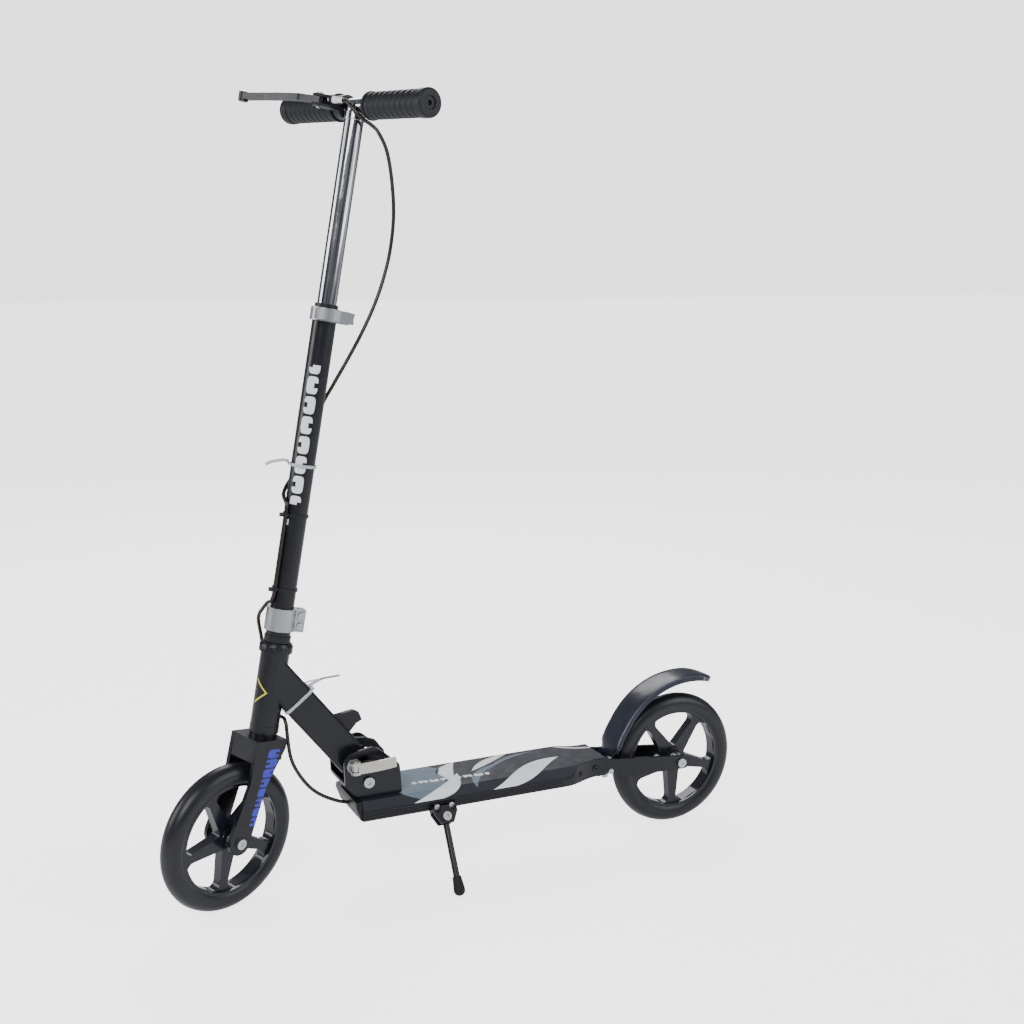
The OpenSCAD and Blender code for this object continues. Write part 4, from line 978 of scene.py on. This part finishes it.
class SCOOTER_OT_castings(bpy.types.Operator):
    """Rolls over the edges of the tubes, castings, plates and levers"""
    bl_idname = "scooter.castings"
    bl_label = "Round Castings"

    thick = ("deck", "head_frame", "fork", "fold_bracket", "lower_clamp", "top_collar",
             "front_rim", "rear_rim", "rear_fork", "kickstand_bracket", "deck_nose")
    thin = ("collar_lever", "fold_lever", "brake_lever", "brake_bracket", "brake_arm",
            "column_ties", "skewer_fittings", "head_cups", "head_locknut", "pivot_nut",
            "front_axle_nut", "rear_axle_nut", "pivot_bolt", "front_axle", "rear_axle",
            "cable_adjuster", "kickstand_leg", "stem", "column_tube")

    def execute(self, context):
        sizes = context.scene.scooter_sizes
        for node in self.thick:
            rounded_copy(node, sizes.edge)
        for node in self.thin:
            rounded_copy(node, sizes.thin_edge)
        return {"FINISHED"}


class SCOOTER_OT_stage(bpy.types.Operator):
    """Sets the floor, the lights, the sky and the camera"""
    bl_idname = "scooter.stage"
    bl_label = "Set Stage"

    def execute(self, context):
        stage = context.scene.scooter_stage
        half = 40.0
        floor = finished("floor", [[-half, -half, 0], [half, -half, 0], [half, half, 0],
                                   [-half, half, 0]], [[0, 1, 2, 3]])
        paper = Finish("floor paper", stage.floor, 0.7)
        paper.put("Roughness", paper.noise(3.0, 2.0).ramp(0.3, 0.7, 0.65, 0.75))
        seen = paper.add("ShaderNodeLightPath", out="Is Camera Ray")
        paper.put("Emission Color", paper.mix(seen, (0.1, 0.1, 0.105), stage.floor))
        paper.put("Emission Strength", 2.6)
        floor.data.materials.append(paper.material)
        for name, place, size, power in (
                ("key light", (1.6, 2.2, 2.4), 1.6, 60), ("fill light", (-1.8, 1.6, 1.5), 1.8, 28),
                ("front light", (2.4, -0.6, 1.3), 1.2, 26),
                ("back light", (-0.6, -2.2, 2.2), 1.6, 40)):
            data = bpy.data.lights.new(name, "AREA")
            data.size = size
            data.energy = power * stage.light
            lamp = bpy.data.objects.new(name, data)
            lamp.location = place
            lamp.rotation_euler = (Vector((0, 0, 0.45)) - Vector(place)).to_track_quat(
                "-Z", "Y").to_euler()
            context.scene.collection.objects.link(lamp)
        world = bpy.data.worlds.new("studio")
        world.use_nodes = True
        tree = world.node_tree
        soft = tree.nodes["Background"]
        soft.inputs["Color"].default_value = (0.9, 0.94, 1.0, 1)
        soft.inputs["Strength"].default_value = 0.22
        backdrop = tree.nodes.new("ShaderNodeBackground")
        backdrop.inputs["Strength"].default_value = 2.9
        seen = tree.nodes.new("ShaderNodeLightPath")
        blend = tree.nodes.new("ShaderNodeMixShader")
        tree.links.new(seen.outputs["Is Camera Ray"], blend.inputs[0])
        tree.links.new(soft.outputs[0], blend.inputs[1])
        tree.links.new(backdrop.outputs[0], blend.inputs[2])
        tree.links.new(blend.outputs[0], tree.nodes["World Output"].inputs[0])
        context.scene.world = world
        data = bpy.data.cameras.new("camera")
        data.lens = stage.lens
        data.sensor_width = 36.0
        camera = bpy.data.objects.new("camera", data)
        camera.location = (0.7077, 1.6910, 0.8253)
        aim = Vector((-0.0719, 0.0, 0.4980)) - camera.location
        camera.rotation_euler = aim.to_track_quat("-Z", "Y").to_euler()
        context.scene.collection.objects.link(camera)
        context.scene.camera = camera
        return {"FINISHED"}


class SCOOTER_PT_panel(bpy.types.Panel):
    """Lists the scooter's pieces, sizes and colours"""
    bl_idname = "SCOOTER_PT_panel"
    bl_label = "Kick Scooter"
    bl_space_type = "VIEW_3D"
    bl_region_type = "UI"
    bl_category = "Scooter"

    def draw(self, context):
        for step in STEPS:
            self.layout.operator(step.bl_idname)
        for group in (context.scene.scooter_sizes, context.scene.scooter_colours,
                      context.scene.scooter_stage):
            box = self.layout.box()
            for name in group.bl_rna.properties.keys():
                if name not in ("rna_type", "name"):
                    box.prop(group, name)


GROUPS = {"scooter_sizes": ScooterSizes, "scooter_colours": ScooterColours,
          "scooter_stage": ScooterStage}
STEPS = (SCOOTER_OT_finishes, SCOOTER_OT_tyres, SCOOTER_OT_grips, SCOOTER_OT_cables,
         SCOOTER_OT_ties, SCOOTER_OT_sheet, SCOOTER_OT_fender, SCOOTER_OT_castings,
         SCOOTER_OT_stage)


def register():
    for kind in (*GROUPS.values(), *STEPS, SCOOTER_PT_panel):
        bpy.utils.register_class(kind)
    for name, kind in GROUPS.items():
        setattr(bpy.types.Scene, name, bpy.props.PointerProperty(type=kind))


def unregister():
    for name in GROUPS:
        delattr(bpy.types.Scene, name)
    for kind in reversed((*GROUPS.values(), *STEPS, SCOOTER_PT_panel)):
        bpy.utils.unregister_class(kind)


def main():
    register()
    for step in STEPS:
        family, name = step.bl_idname.split(".")
        getattr(getattr(bpy.ops, family), name)()


if __name__ == "__main__":
    main()
